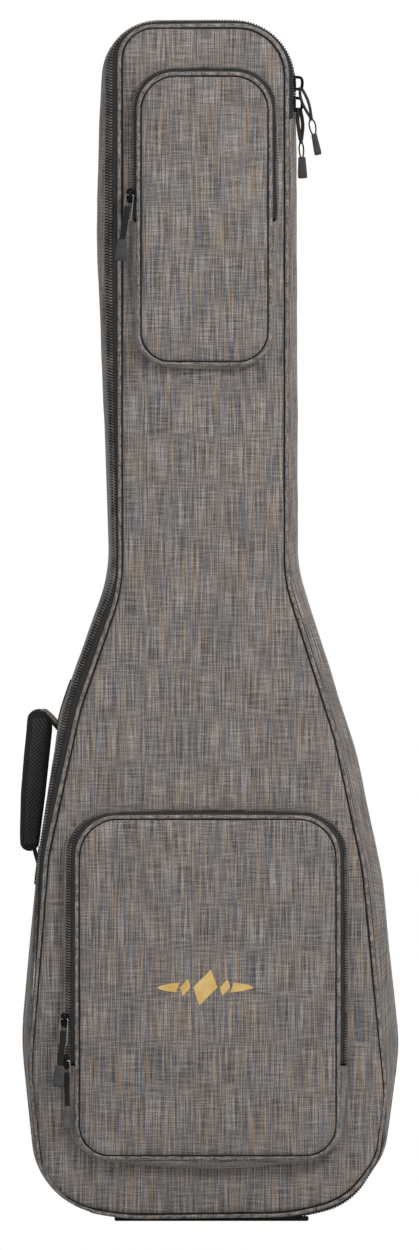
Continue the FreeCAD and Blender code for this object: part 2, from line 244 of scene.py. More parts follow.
def addGrid(mesh, points, slots=0, closeAlong=False, closeAround=False, uv=None):
    # rows of points run along the piece, columns across or around it; UVs are in metres on the surface
    points = np.asarray(points, float)
    rows, cols = points.shape[:2]
    first = len(mesh["verts"])
    mesh["verts"].extend(map(tuple, points.reshape(-1, 3)))
    if uv is None:
        full = points
        if closeAlong:
            full = np.concatenate([full, full[:1]], 0)
        if closeAround:
            full = np.concatenate([full, full[:, :1]], 1)
        along = np.concatenate([[0], np.cumsum(np.linalg.norm(np.diff(full, axis=0), axis=2).mean(1))])
        across = np.linalg.norm(np.diff(full, axis=1), axis=2)
        across = np.concatenate([np.zeros((len(full), 1)), np.cumsum(across, 1)], 1)
        uv = np.stack([across, np.repeat(along[:, None], across.shape[1], 1)], 2)
    lastRow = rows if closeAlong else rows - 1
    lastCol = cols if closeAround else cols - 1
    for i in range(lastRow):
        low, high = first + i * cols, first + (i + 1) % rows * cols
        for j in range(lastCol):
            k = (j + 1) % cols
            mesh["faces"].append((low + j, low + k, high + k, high + j))
            mesh["uvs"].extend((tuple(uv[i, j]), tuple(uv[i, j + 1]), tuple(uv[i + 1, j + 1]), tuple(uv[i + 1, j])))
            mesh["slots"].append(slots if isinstance(slots, int) else slots[j])
    return first


def addFace(mesh, corners, slot=0, uv=None):
    mesh["faces"].append(tuple(corners))
    mesh["slots"].append(slot)
    for c in corners:
        p = mesh["verts"][c]
        mesh["uvs"].append((p[0] + p[1], p[2]) if uv is None else uv)


def addSections(mesh, sections, closed, slots=0):
    # sections are closed rings, outer points first and inner points back, swept along the piece
    sections = np.asarray(sections, float)
    first = addGrid(mesh, sections, slots, closeAlong=closed, closeAround=True)
    count, size = sections.shape[:2]
    if not closed:
        for base, order in ((first, 1), (first + (count - 1) * size, -1)):
            for j in range(size // 2 - 1):
                ring = [base + j, base + j + 1, base + size - 2 - j, base + size - 1 - j]
                addFace(mesh, ring[::-order])


def frames(path, closed=False, up=None):
    # tangents and two cross directions along a path, turning as little as possible
    path = np.asarray(path, float)
    if closed:
        tangents = np.roll(path, -1, 0) - np.roll(path, 1, 0)
    else:
        tangents = np.gradient(path, axis=0)
    tangents /= np.linalg.norm(tangents, axis=1)[:, None]
    start = np.array(up if up is not None else (0, 1, 0.01), float)
    sides = []
    for t in tangents:
        start = start - t * start.dot(t)
        start = start / np.linalg.norm(start)
        sides.append(start.copy())
    sides = np.array(sides)
    return tangents, sides, np.cross(tangents, sides)


def addTube(mesh, path, radius, sides=10, closed=False, flat=1.0, up=None, slot=0, caps=True):
    # radius may change along the path; flat squeezes the section across the second direction
    path = np.asarray(path, float)
    radius = np.broadcast_to(np.asarray(radius, float), (len(path),))
    _, a, b = frames(path, closed, up)
    turns = np.linspace(0, 2 * math.pi, sides, endpoint=False)
    rings = path[:, None] + radius[:, None, None] * (
        np.cos(turns)[None, :, None] * a[:, None] + flat * np.sin(turns)[None, :, None] * b[:, None])
    first = addGrid(mesh, rings, slot, closeAlong=closed, closeAround=True)
    if caps and not closed:
        addFace(mesh, [first + j for j in range(sides)][::-1], slot)
        last = first + (len(path) - 1) * sides
        addFace(mesh, [last + j for j in range(sides)], slot)


def finishPiece(name, mesh, materials, body=None, blend=None, replaces=(), slot=None, sharp=None, levels=0):
    data = bpy.data.meshes.new(name)
    data.from_pydata(mesh["verts"], [], mesh["faces"])
    layer = data.uv_layers.new(name="UVMap")
    layer.data.foreach_set("uv", np.asarray(mesh["uvs"], np.float32).ravel())
    data.polygons.foreach_set("material_index", mesh["slots"])
    for material in materials:
        data.materials.append(material)
    work = bmesh.new()
    work.from_mesh(data)
    bmesh.ops.recalc_face_normals(work, faces=work.faces)
    work.to_mesh(data)
    work.free()
    data.polygons.foreach_set("use_smooth", [True] * len(data.polygons))
    if sharp:
        data.set_sharp_from_angle(angle=math.radians(sharp))
    piece = bpy.data.objects.new(name, data)
    bpy.context.scene.collection.objects.link(piece)
    if levels:
        piece.modifiers.new("Subdivision", "SUBSURF").levels = levels
        piece.modifiers[-1].render_levels = levels
    return place(piece, body, blend, replaces, slot)


def place(piece, body=None, blend=None, replaces=(), slot=None):
    if blend:
        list(blend)
        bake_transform(piece)
    else:
        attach(piece, body)
    if replaces:
        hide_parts(*replaces)
    return piece


# Outlines

def cornerArc(before, corner, after, steps=18):
    here = np.array(corner[:2], float)
    d1 = here - np.array(before[:2], float)
    d2 = np.array(after[:2], float) - here
    d1, d2 = d1 / np.linalg.norm(d1), d2 / np.linalg.norm(d2)
    turn = math.atan2(d1[0] * d2[1] - d1[1] * d2[0], float(d1 @ d2))
    if abs(turn) < 0.002:
        return [here]
    start = here - d1 * corner[2] * math.tan(abs(turn) / 2)
    centre = start + np.array([-d1[1], d1[0]]) * math.copysign(corner[2], turn)
    arc = []
    for k in range(steps + 1):
        a = turn * k / steps
        x, z = start - centre
        arc.append(centre + np.array([x * math.cos(a) - z * math.sin(a), x * math.sin(a) + z * math.cos(a)]))
    return arc


def denseOutline(corners):
    # the whole closed line, and where along it each corner's middle lies
    points, middles = [], []
    for i, corner in enumerate(corners):
        arc = cornerArc(corners[i - 1], corner, corners[(i + 1) % len(corners)])
        middles.append(len(points) + len(arc) // 2)
        points.extend(arc)
    points = np.array(points + points[:1])
    lengths = np.concatenate([[0], np.cumsum(np.linalg.norm(np.diff(points, axis=0), axis=1))])
    return points, lengths, lengths[middles]


def sampleOutline(corners, counts=None, spacing=5.0):
    # the same number of points between neighbouring corners for any outline with the same corners
    points, lengths, marks = denseOutline(corners)
    total = lengths[-1]
    ends = np.append(marks[1:], marks[0] + total)
    if counts is None:
        counts = [max(2, round((e - m) / spacing)) for m, e in zip(marks, ends)]
    places = np.concatenate([np.linspace(m, e, n, endpoint=False) for m, e, n in zip(marks, ends, counts)])
    places = np.mod(places, total)
    x = np.interp(places, lengths, points[:, 0])
    z = np.interp(places, lengths, points[:, 1])
    return np.stack([x, z], 1) * mm, counts


def outward(outline):
    step = np.roll(outline, -1, 0) - np.roll(outline, 1, 0)
    step /= np.linalg.norm(step, axis=1)[:, None]
    return np.stack([-step[:, 1], step[:, 0]], 1)


widest, pointCounts = sampleOutline(bag["widest"], spacing=bag["spacing"])
seam, _ = sampleOutline(bag["seam"], pointCounts)
outDirection = widest - seam
wallWidth = np.linalg.norm(outDirection, axis=1)
outDirection = outDirection / wallWidth[:, None]
edgeCount = len(seam)
onRight = widest[:, 0] > 0
hingeStart = int(np.argmax(onRight & (widest[:, 1] < bag["zipTop"] * mm)))
hingeEnd = int(np.argmax(onRight & (widest[:, 1] < bag["zipLow"] * mm)))
hingeRange = np.arange(hingeStart, hingeEnd + 1)
zipRange = np.arange(hingeEnd, hingeStart + edgeCount + 1) % edgeCount
print("outline points", edgeCount, "hinge", hingeStart, hingeEnd)

# The gusset's section, from the front seam round the side to the back seam. Depths are y in mm.
wall = {
    "front": -40.5, "side": -12.0, "backStart": 26.0, "back": 37.0, "backInset": 5.0,
    "tapeStart": 2.0, "coilEnd": 17.4,
    "thickness": 5.5, "slack": 0.8, "squareness": 2.9,
    "pinch": 2.6, "narrow": (9.5, 14),  # the cloth steps in behind the teeth where the wall shows least
    "zipShift": 2.6, "bareTape": 3.0,  # more of the tape lies open beside the teeth along the left of the body
}


def wallProfile(width):
    turn = np.linspace(0, math.pi / 2, 40)
    depth = (wall["side"] - wall["front"]) * mm
    power = 2 / wall["squareness"]
    front = np.stack([width * np.sin(turn) ** power, wall["front"] * mm + depth * (1 - np.cos(turn) ** power)], 1)
    back = np.stack([width - wall["backInset"] * mm * (1 - np.cos(turn)),
                     (wall["backStart"] + (wall["back"] - wall["backStart"]) * np.sin(turn)) * mm], 1)
    line = np.concatenate([front, back])
    lengths = np.concatenate([[0], np.cumsum(np.linalg.norm(np.diff(line, axis=0), axis=1))])
    narrow = 1 - np.clip((width / mm - wall["narrow"][0]) / (wall["narrow"][1] - wall["narrow"][0]), 0, 1)
    past = np.clip((lengths / mm - 15) / 9, 0, 1)
    line[:, 0] -= wall["pinch"] * mm * narrow * past * past * (3 - 2 * past)
    return line, lengths


def sectionPoints(ground, out, profile, places, lift):
    # points on a section at arc lengths along it, lifted off it along its normal
    line, lengths = profile
    places = np.minimum(places, lengths[-1])
    o = np.interp(places, lengths, line[:, 0])
    y = np.interp(places, lengths, line[:, 1])
    step = 0.5 * mm
    before, after = places - step, places + step
    tangent = np.stack([np.interp(after, lengths, line[:, k]) - np.interp(before, lengths, line[:, k])
                        for k in (0, 1)], 1)
    tangent /= np.linalg.norm(tangent, axis=1)[:, None]
    o, y = o + tangent[:, 1] * lift, y - tangent[:, 0] * lift
    return np.stack([ground[0] + out[0] * o, y, ground[1] + out[1] * o], 1)


def wallPoints(index, places, lift):
    return sectionPoints(seam[index], outDirection[index], wallProfile(wallWidth[index]), places, lift)


def wallLength(index):
    return wallProfile(wallWidth[index])[1][-1]


def softNoise(p, size, seed):
    return noise.noise(Vector((p[0] / size + seed, p[1] / size, p[2] / size)))


def addStrip(mesh, indexes, pointsAt, start, end, columns, lift, thickness, slots=None, slack=0.0, closed=False):
    # a strip of cloth or tape between two arc lengths of the section; start and end may be functions of the index
    sections = []
    for i in indexes:
        first = start(i) if callable(start) else start
        last = end(i) if callable(end) else end
        places = np.linspace(first, last, columns)
        outer = pointsAt(i, places, lift)
        inner = pointsAt(i, places[::-1], lift - thickness)
        if slack:
            lifted = pointsAt(i, places, lift + slack) - outer
            for k, p in enumerate(outer.copy()):
                fade = math.sin(math.pi * k / (columns - 1)) ** 0.6
                outer[k] = p + lifted[k] * fade * (softNoise(p, 0.055, 2.0) * 1.3 + softNoise(p, 0.021, 9.0) * 0.5)
        sections.append(np.concatenate([outer, inner]))
    addSections(mesh, sections, closed, [0] * columns + [slots or 0] * (columns - 1) + [0])


def strip(name, indexes, pointsAt, start, end, columns, lift, thickness, materials, slack=0.0, closed=False,
          **placing):
    mesh = newMesh()
    addStrip(mesh, indexes, pointsAt, start, end, columns, lift, thickness, len(materials) - 1, slack, closed)
    return finishPiece(name, mesh, materials, **placing)


def leftSide(i):
    # 1 along the left of the body, where the zip lies further out, and 0 elsewhere
    x, z = widest[i] / mm
    return math.exp(-((z - 500) / 150) ** 4) if x < 0 else 0.0


def zipAt(place):
    return lambda i: (place + wall["zipShift"] * leftSide(i)) * mm


def clothStart(i):
    return (wall["coilEnd"] - 0.3 + (wall["bareTape"] + wall["zipShift"]) * leftSide(i)) * mm


hingeBlend = ("case", "lid", (0, -0.020, 0), (0, -0.040, 0))
strip("gussetZipSide", zipRange, wallPoints, clothStart, wallLength, 16, 0.0, wall["thickness"] * mm,
          [heather, lining], slack=wall["slack"] * mm, body="case",
          replaces=("gusset_left", "gusset_top", "gusset_bottom"), slot="heather_fabric")
strip("gussetHingeSide", hingeRange, wallPoints, 1.5 * mm, wallLength, 22, 0.0, wall["thickness"] * mm,
          [heather, lining], slack=wall["slack"] * mm, blend=hingeBlend, replaces=("gusset_right",),
          slot="heather_fabric")
strip("zipTapeLid", zipRange, wallPoints, wall["tapeStart"] * mm, zipAt(11.4), 7, -0.3 * mm, 1.0 * mm,
          [tapeCloth], body="lid", replaces=("main_zip_tape_lid",), slot="zip_tape")
strip("zipTapeCase", zipRange, wallPoints, zipAt(15.6), zipAt(23.4), 6, -0.5 * mm, 0.9 * mm,
          [tapeCloth], body="case", replaces=("main_zip_tape_case",), slot="zip_tape")
for name, start, body in (("zipBedLid", 9.3, "lid"), ("zipBedCase", 13.7, "case")):
    strip(name, zipRange, wallPoints, zipAt(start), zipAt(start + 4.1), 4, 0.1 * mm, 0.5 * mm, [seamShadeAndZipBed], body=body,
          slot="zip_coil")
print("gusset and zip tape made")


def edgeTube(indexes, across, y, radius, closed):
    path = [(seam[i][0] + outDirection[i][0] * across(i), y, seam[i][1] + outDirection[i][1] * across(i))
            for i in indexes]
    mesh = newMesh()
    addTube(mesh, path, radius, 12, closed, up=(0, 1, 0))
    return mesh


everyIndex = np.arange(edgeCount)
# near-black tubes laid in the grooves beside the front piping and along the hinge: painted shade in the seams
finishPiece("seamShadeFront", edgeTube(everyIndex, lambda i: -0.35 * mm, -42.6 * mm, 0.95 * mm, True), [seamShadeAndZipBed],
            body="lid", slot="zip_tape")
finishPiece("seamShadeHinge", edgeTube(hingeRange, lambda i: 4.5 * mm, -40.6 * mm, 0.75 * mm, False), [seamShadeAndZipBed],
            body="lid", slot="zip_tape")
finishPiece("pipingFront", edgeTube(everyIndex, lambda i: 2.2 * mm, -41.3 * mm, 2.3 * mm, True),
            [heatherPiping], body="lid", replaces=("front_piping",), slot="piping")
finishPiece("pipingBack", edgeTube(everyIndex, lambda i: wallWidth[i] - 2.9 * mm, 38.4 * mm, 2.2 * mm, True),
            [heatherPiping], body="case", replaces=("back_piping",), slot="piping")


# Padded panels

def distanceInside(points, outline):
    # distance from each point to the outline, negative outside it
    a, b = outline, np.roll(outline, -1, 0)
    result = np.empty(len(points))
    for start in range(0, len(points), 2000):
        p = points[start:start + 2000, None]
        along = b - a
        share = np.clip(((p - a) * along).sum(2) / (along ** 2).sum(1), 0, 1)
        gap = np.linalg.norm(p - (a + share[..., None] * along), axis=2).min(1)
        crosses = ((a[:, 1] > p[..., 1]) != (b[:, 1] > p[..., 1])) & (
            p[..., 0] < (b[:, 0] - a[:, 0]) * (p[..., 1] - a[:, 1]) / (b[:, 1] - a[:, 1] + 1e-12) + a[:, 0])
        result[start:start + 2000] = np.where(crosses.sum(1) % 2 == 1, gap, -gap)
    return result


def flatPlan(outline, rings=(1.0, 2.4, 4.2, 6.4, 9.0), spacing=5.0):
    # triangles over a closed outline, finer where the padding rolls into the seam
    inward = -outward(outline)
    loops = [outline] + [outline + inward * r * mm for r in rings]
    low, high = outline.min(0), outline.max(0)
    step = spacing * mm
    xs, zs = np.meshgrid(np.arange(low[0], high[0], step), np.arange(low[1], high[1], step))
    xs = xs + (np.arange(len(xs)) % 2)[:, None] * step / 2
    grid = np.stack([xs.ravel(), zs.ravel()], 1)
    grid = grid[distanceInside(grid, outline) > (rings[-1] + spacing * 0.6) * mm]
    points = np.concatenate(loops + [grid])
    count = len(outline)
    edges = [(i, (i + 1) % count) for i in range(count)]
    verts, _, faces, origins, _, _ = delaunay_2d_cdt([Vector(p) for p in points], edges, [], 1, 1e-7)
    verts = np.array([tuple(v) for v in verts])
    ring = [-1] * count
    for k, found in enumerate(origins):
        for original in found:
            if original < count:
                ring[original] = k
    return {"points": verts, "faces": [tuple(f) for f in faces], "ring": ring,
            "inside": np.maximum(distanceInside(verts, outline), 0)}


def addPad(mesh, plan, front, back, backSlot=1, sideSlot=0):
    # a closed pad: the plan's triangles at the front depth and again at the back depth, joined round the edge
    points, faces, ring = plan["points"], plan["faces"], plan["ring"]
    base = len(mesh["verts"])
    count = len(points)
    for depth in (front, back):
        mesh["verts"].extend((p[0], y, p[1]) for p, y in zip(points, depth))
    for f in faces:
        mesh["faces"].append(tuple(base + k for k in f))
        mesh["uvs"].extend(tuple(points[k]) for k in f)
        mesh["slots"].append(0)
    for f in faces:
        mesh["faces"].append(tuple(base + count + k for k in f[::-1]))
        mesh["uvs"].extend(tuple(points[k]) for k in f[::-1])
        mesh["slots"].append(backSlot)
    for i, a in enumerate(ring):
        b = ring[(i + 1) % len(ring)]
        mesh["faces"].append((base + a, base + b, base + count + b, base + count + a))
        for k, depth in ((a, 0), (b, 0), (b, 0.01), (a, 0.01)):
            mesh["uvs"].append((points[k][0] + depth, points[k][1] + depth))
        mesh["slots"].append(sideSlot)


def padDepth(plan, edge, roll, rollRadius, crown, crownReach, facing, ripple=0.0, seed=1.0):
    # depth of a padded face: it rolls up out of its seam, then swells gently towards its middle
    inside = plan["inside"]
    t = np.clip(inside / (rollRadius * mm), 0, 1)
    rise = roll * np.sqrt(1 - (1 - t) ** 2)
    c = np.clip(inside / (crownReach * mm), 0, 1)
    rise = rise + crown * (1 - (1 - c) ** 2)
    if ripple:
        near = np.exp(-inside / (26 * mm)) * np.clip(inside / (5 * mm), 0, 1)
        waves = np.array([
            noise.noise(Vector((p[0] / 0.016, seed, p[1] / 0.016))) * n + 0.9 * noise.noise(
                Vector((p[0] / 0.07, seed + 5, p[1] / 0.09)))
            for p, n in zip(plan["points"], near)])
        rise = rise + ripple * waves
    return (edge + facing * rise) * mm


panels = {
    "front": {"edge": -39.6, "roll": 5.6, "radius": 9, "crown": 5.0, "reach": 75, "ripple": 0.7},
    "back": {"edge": 37.6, "roll": 6.2, "radius": 9, "crown": 1.8, "reach": 70, "ripple": 0.5},
    "liningFront": -33.4, "liningBack": 34.0,
}

frontPlan = flatPlan(seam)
f = panels["front"]
mesh = newMesh()
addPad(mesh, frontPlan, padDepth(frontPlan, f["edge"], f["roll"], f["radius"], f["crown"], f["reach"], -1, f["ripple"]),
       np.full(len(frontPlan["points"]), panels["liningFront"] * mm))
lidPad = finishPiece("lidPad", mesh, [heather, lining], body="lid",
                     replaces=("front_cover", "front_foam", "front_lining"), slot="heather_fabric")
backSeam = seam + outDirection * (wallWidth - 5.2 * mm)[:, None]
backPlan = flatPlan(backSeam, spacing=6.0)
b = panels["back"]
mesh = newMesh()
backDepth = padDepth(backPlan, b["edge"], b["roll"], b["radius"], b["crown"], b["reach"], 1, b["ripple"], 4.0)
addPad(mesh, backPlan, backDepth,
       np.full(len(backPlan["points"]), panels["liningBack"] * mm))
backPad = finishPiece("backPad", mesh, [heather, lining], body="case",
                      replaces=("back_cover", "back_foam", "back_lining"), slot="heather_fabric")
print("padded panels made")

# Zip teeth

def teethTree():
    tree = bpy.data.node_groups.new("zipTeeth", "GeometryNodeTree")
    tree.interface.new_socket("Geometry", in_out="INPUT", socket_type="NodeSocketGeometry")
    for name, value in (("Tooth Length", 3.6 * mm), ("Tooth Radius", 0.95 * mm)):
        tree.interface.new_socket(name, in_out="INPUT", socket_type="NodeSocketFloat").default_value = value
    tree.interface.new_socket("Material", in_out="INPUT", socket_type="NodeSocketMaterial")
    tree.interface.new_socket("Geometry", in_out="OUTPUT", socket_type="NodeSocketGeometry")
    given = addNode(tree, "NodeGroupInput").outputs
    tooth = addNode(tree, "GeometryNodeMeshCylinder", {
        "Vertices": 8, "Radius": given["Tooth Radius"], "Depth": given["Tooth Length"]})
    across = addNode(tree, "GeometryNodeInputNamedAttribute", {"Name": "across"}, data_type="FLOAT_VECTOR")
    face = addNode(tree, "GeometryNodeInputNamedAttribute", {"Name": "facing"}, data_type="FLOAT_VECTOR")
    turn = addNode(tree, "FunctionNodeAxesToRotation", {
        "Primary Axis": across.outputs["Attribute"], "Secondary Axis": face.outputs["Attribute"]},
        primary_axis="Z", secondary_axis="X")
    placed = addNode(tree, "GeometryNodeInstanceOnPoints", {
        "Points": given["Geometry"], "Instance": tooth.outputs["Mesh"], "Rotation": turn.outputs["Rotation"]})
    real = addNode(tree, "GeometryNodeRealizeInstances", {"Geometry": placed.outputs["Instances"]})
    painted = addNode(tree, "GeometryNodeSetMaterial", {
        "Geometry": real.outputs["Geometry"], "Material": given["Material"]})
    addNode(tree, "NodeGroupOutput", {"Geometry": painted.outputs["Geometry"]})
    return tree


zipTeeth = teethTree()


def baked(name, carrier, tree, values):
    # runs a node tree on a carrier mesh and keeps the result as a plain mesh
    modifier = carrier.modifiers.new("Nodes", "NODES")
    modifier.node_group = tree
    for item in tree.interface.items_tree:
        if item.item_type == "SOCKET" and item.in_out == "INPUT" and item.name in values:
            modifier[item.identifier] = values[item.name]
    evaluated = carrier.evaluated_get(bpy.context.evaluated_depsgraph_get())
    result = bpy.data.meshes.new_from_object(evaluated)
    bpy.data.objects.remove(carrier)
    piece = bpy.data.objects.new(name, result)
    result.name = name
    bpy.context.scene.collection.objects.link(piece)
    return piece


def pointCloud(name, points, **vectors):
    data = bpy.data.meshes.new(name)
    data.from_pydata([tuple(p) for p in points], [], [])
    for key, values in vectors.items():
        layer = data.attributes.new(key, "FLOAT_VECTOR", "POINT")
        layer.data.foreach_set("vector", np.asarray(values, np.float32).ravel())
    carrier = bpy.data.objects.new(name, data)
    bpy.context.scene.collection.objects.link(carrier)
    return carrier


def evenly(line, pitch, offset=0.0):
    # places along a line of points, as row numbers with a fraction
    lengths = np.concatenate([[0], np.cumsum(np.linalg.norm(np.diff(line, axis=0), axis=1))])
    return np.interp(np.arange(offset, lengths[-1], pitch), lengths, np.arange(len(line)))


def teeth(name, indexes, pointsAt, across, lift, pitch, offset, length, radius, **placing):
    at = {i: np.array([across(i) if callable(across) else across]) for i in indexes}
    line = np.concatenate([pointsAt(i, at[i], lift) for i in indexes])
    wide = np.concatenate([pointsAt(i, at[i] + 0.5 * mm, lift) for i in indexes]) - line
    high = np.concatenate([pointsAt(i, at[i], lift + 0.5 * mm) for i in indexes]) - line
    rows = evenly(line, pitch * mm, offset * mm)
    points, wide, high = (
        np.stack([np.interp(rows, np.arange(len(a)), a[:, k]) for k in range(3)], 1) for a in (line, wide, high))
    piece = baked(name, pointCloud(name + "Points", points, across=wide, facing=high), zipTeeth,
                  {"Tooth Length": length * mm, "Tooth Radius": radius * mm, "Material": coilNylonGlint})
    return place(piece, **placing)


# Real coils have a turn every 1.7 mm; these are drawn every 3 mm so that they show
teeth("coilLid", zipRange, wallPoints, zipAt(11.4), 0.3 * mm, 3.0, 0.0, 3.8, 0.92, body="lid",
      replaces=("main_zip_coil_lid",), slot="zip_coil")
teeth("coilCase", zipRange, wallPoints, zipAt(15.6), 0.3 * mm, 3.0, 1.5, 3.8, 0.92, body="case",
      replaces=("main_zip_coil_case",), slot="zip_coil")

# Pockets: outline as left, right, bottom, top, bottom radius, top radius in mm; depths are y in mm
pockets = {
    "upper": {"seam": (-73.5, 58, 885, 1179.5, 31, 36), "edge": (-86.5, 69, 875.5, 1190, 36, 45), "fold": 1030,
              "piping": -59.3, "foot": -44, "shoulder": -50, "groove": -58.2, "roll": 5.0, "crown": 2.6,
              "back": -57.2, "reach": 45, "show": (9.8, 9.8, 8.8, 4.9), "sag": 2.5, "tape": 4.4, "tooth": 2.2},
    "lower": {"seam": (-137, 128, 67, 414, 32, 40), "edge": (-155, 145.5, 52.5, 426.5, 46, 52), "fold": 157.5,
              "piping": -63.3, "foot": -44, "shoulder": -53, "groove": -62.2, "roll": 5.6, "crown": 4.0,
              "back": -61.2, "reach": 70, "show": (16.0, 12.0, 10.0, 5.2), "sag": 8.0, "tape": 5.4, "tooth": 2.8},
}


def roundedCorners(left, right, bottom, top, lowRadius, topRadius):
    return [(left, top, topRadius), (right, top, topRadius), (right, bottom, lowRadius), (left, bottom, lowRadius)]


def pocket(name, p):
    edge, counts = sampleOutline(roundedCorners(*p["edge"]), spacing=4.0)
    inner, _ = sampleOutline(roundedCorners(*p["seam"]), counts)
    out = edge - inner
    width = np.linalg.norm(out, axis=1)
    out /= width[:, None]
    # how far the zip and the wall show beyond the seam: left, right, top and bottom
    left, right, top, bottom = p["show"]
    face = outward(inner)
    width = np.where(face[:, 0] < 0, left, right) * face[:, 0] ** 2 + top * np.clip(face[:, 1], 0, 1) ** 2
    width = width + bottom * np.clip(-face[:, 1], 0, 1) ** 2
    low = (inner[:, 1].min(), p["fold"] * mm)
    taper = np.clip((inner[:, 1] - low[0]) / (low[1] - low[0]), 0, 1) ** 0.8
    width = bottom + (width - bottom) * taper
    # the wall sags out below the middle of the pocket
    middle = (inner[:, 0] / mm - (p["seam"][0] + p["seam"][1]) / 2) / (0.8 * (p["seam"][1] - p["seam"][0]) / 2)
    width = (width + p["sag"] * np.clip(-face[:, 1], 0, 1) * np.clip(1 - middle ** 2, 0, 1)) * mm

    def profile(i):
        turn = np.linspace(0, math.pi / 2, 16)
        start, w = 3.4 * mm, width[i]
        top, low = (p["piping"] + 0.3) * mm, p["shoulder"] * mm
        line = np.stack([start + (w - start) * np.sin(turn), top + (low - top) * (1 - np.cos(turn))], 1)
        line = np.concatenate([line, [[w + 0.2 * mm, p["foot"] * mm]]])
        return line, np.concatenate([[0], np.cumsum(np.linalg.norm(np.diff(line, axis=0), axis=1))])

    profiles = [profile(i) for i in range(len(edge))]

    def pointsAt(i, places, lift):
        return sectionPoints(inner[i], out[i], profiles[i], places, lift)

    above = edge[:, 1] > p["fold"] * mm
    first = [i for i in range(len(edge)) if above[i] and not above[i - 1]][0]
    zipped = [(first + k) % len(edge) for k in range(int(above.sum()))]
    fold = p["fold"] * mm
    flap = name + "_flap"
    bend = ("lid", flap, (0, 0, fold - 14 * mm), (0, 0, fold + 8 * mm))
    every = range(len(edge))
    tape, tooth = p["tape"], p["tooth"]
    strip(name + "PocketWall", every, pointsAt, lambda i: (tape + 2 * tooth + 1.2 if above[i] else 0.4) * mm,
          lambda i: profiles[i][1][-1], 8, 0.0, 1.6 * mm, [heather, lining], slack=0.5 * mm, closed=True,
          body="lid", replaces=(name + "_pocket_wall",), slot="heather_fabric")
    strip(name + "PocketTapeOuter", zipped, pointsAt, (tape + tooth + 0.3) * mm, (tape + 2 * tooth + 1.6) * mm, 4,
          -0.2 * mm, 0.7 * mm, [tapeCloth],
          body="lid", replaces=(name + "_pocket_zip_outer",), slot="zip_tape")
    strip(name + "PocketBedOuter", zipped, pointsAt, (tape + tooth + 0.1) * mm, (tape + 2 * tooth + 0.3) * mm, 3,
          0.1 * mm, 0.5 * mm, [seamShadeAndZipBed], body="lid", slot="zip_coil")
    strip(name + "PocketBedInner", zipped, pointsAt, (tape - 0.3) * mm, (tape + tooth - 0.1) * mm, 3, 0.1 * mm,
          0.5 * mm, [seamShadeAndZipBed], blend=bend, slot="zip_coil")
    strip(name + "PocketTapeInner", zipped, pointsAt, 0.1 * mm, (tape + tooth - 0.3) * mm, 5, -0.2 * mm, 0.7 * mm,
          [tapeCloth],
          blend=bend, replaces=(name + "_flap_zip",), slot="zip_tape")
    teeth(name + "PocketCoilInner", zipped, pointsAt, (tape + tooth / 2) * mm, 0.3 * mm, 2.8, 0, tooth, 0.85,
          blend=bend, slot="zip_coil")
    teeth(name + "PocketCoilOuter", zipped, pointsAt, (tape + tooth * 1.5) * mm, 0.3 * mm, 2.8, 1.4, tooth, 0.85,
          body="lid", slot="zip_coil")
    mesh = newMesh()
    path = [(inner[i][0] + out[i][0] * 2.15 * mm, p["piping"] * mm, inner[i][1] + out[i][1] * 2.15 * mm) for i in every]
    addTube(mesh, path, 2.25 * mm, 12, True, up=(0, 1, 0))
    finishPiece(name + "PocketPiping", mesh, [heatherPiping], blend=bend, replaces=(name + "_flap_piping",),
                slot="piping")
    # a near-black tube in the groove between the pocket panel and its piping: painted shade in the seam
    mesh = newMesh()
    path = [(inner[i][0] - out[i][0] * 0.3 * mm, (p["piping"] - 1.3) * mm, inner[i][1] - out[i][1] * 0.3 * mm)
            for i in every]
    addTube(mesh, path, 0.9 * mm, 8, True, up=(0, 1, 0))
    finishPiece(name + "PocketSeamShade", mesh, [seamShadeAndZipBed], blend=bend, slot="zip_tape")
    plan = flatPlan(inner, rings=(0.8, 2.0, 3.6, 5.6, 8.0), spacing=4.5)
    mesh = newMesh()
    addPad(mesh, plan, padDepth(plan, p["groove"], p["roll"], 8, p["crown"], p["reach"], -1, 0.45, 8.0),
           np.full(len(plan["points"]), p["back"] * mm))
    panel = finishPiece(name + "PocketPanel", mesh, [heather, lining], blend=bend,
                        replaces=(name + "_pocket_panel", name + "_flap_panel"), slot="heather_fabric")
    return {"edge": edge, "inner": inner, "pointsAt": pointsAt, "profiles": profiles}


for name, p in pockets.items():
    pocket(name, p)
print("pockets made")

# Stitched ornament on the lower pocket: a lozenge between tapering bars, in gold satin stitch; sizes in mm
ornament = {"x": -7.0, "z": 240.5, "pitch": 0.82, "thread": 0.5, "slant": 0.32, "lift": 0.35,
            "lozenges": ((0.0, 12.5, 18.5), (20.5, 5.4, 8.8), (-20.5, 5.4, 8.8)), "bar": (28.0, 49.0, 5.2)}


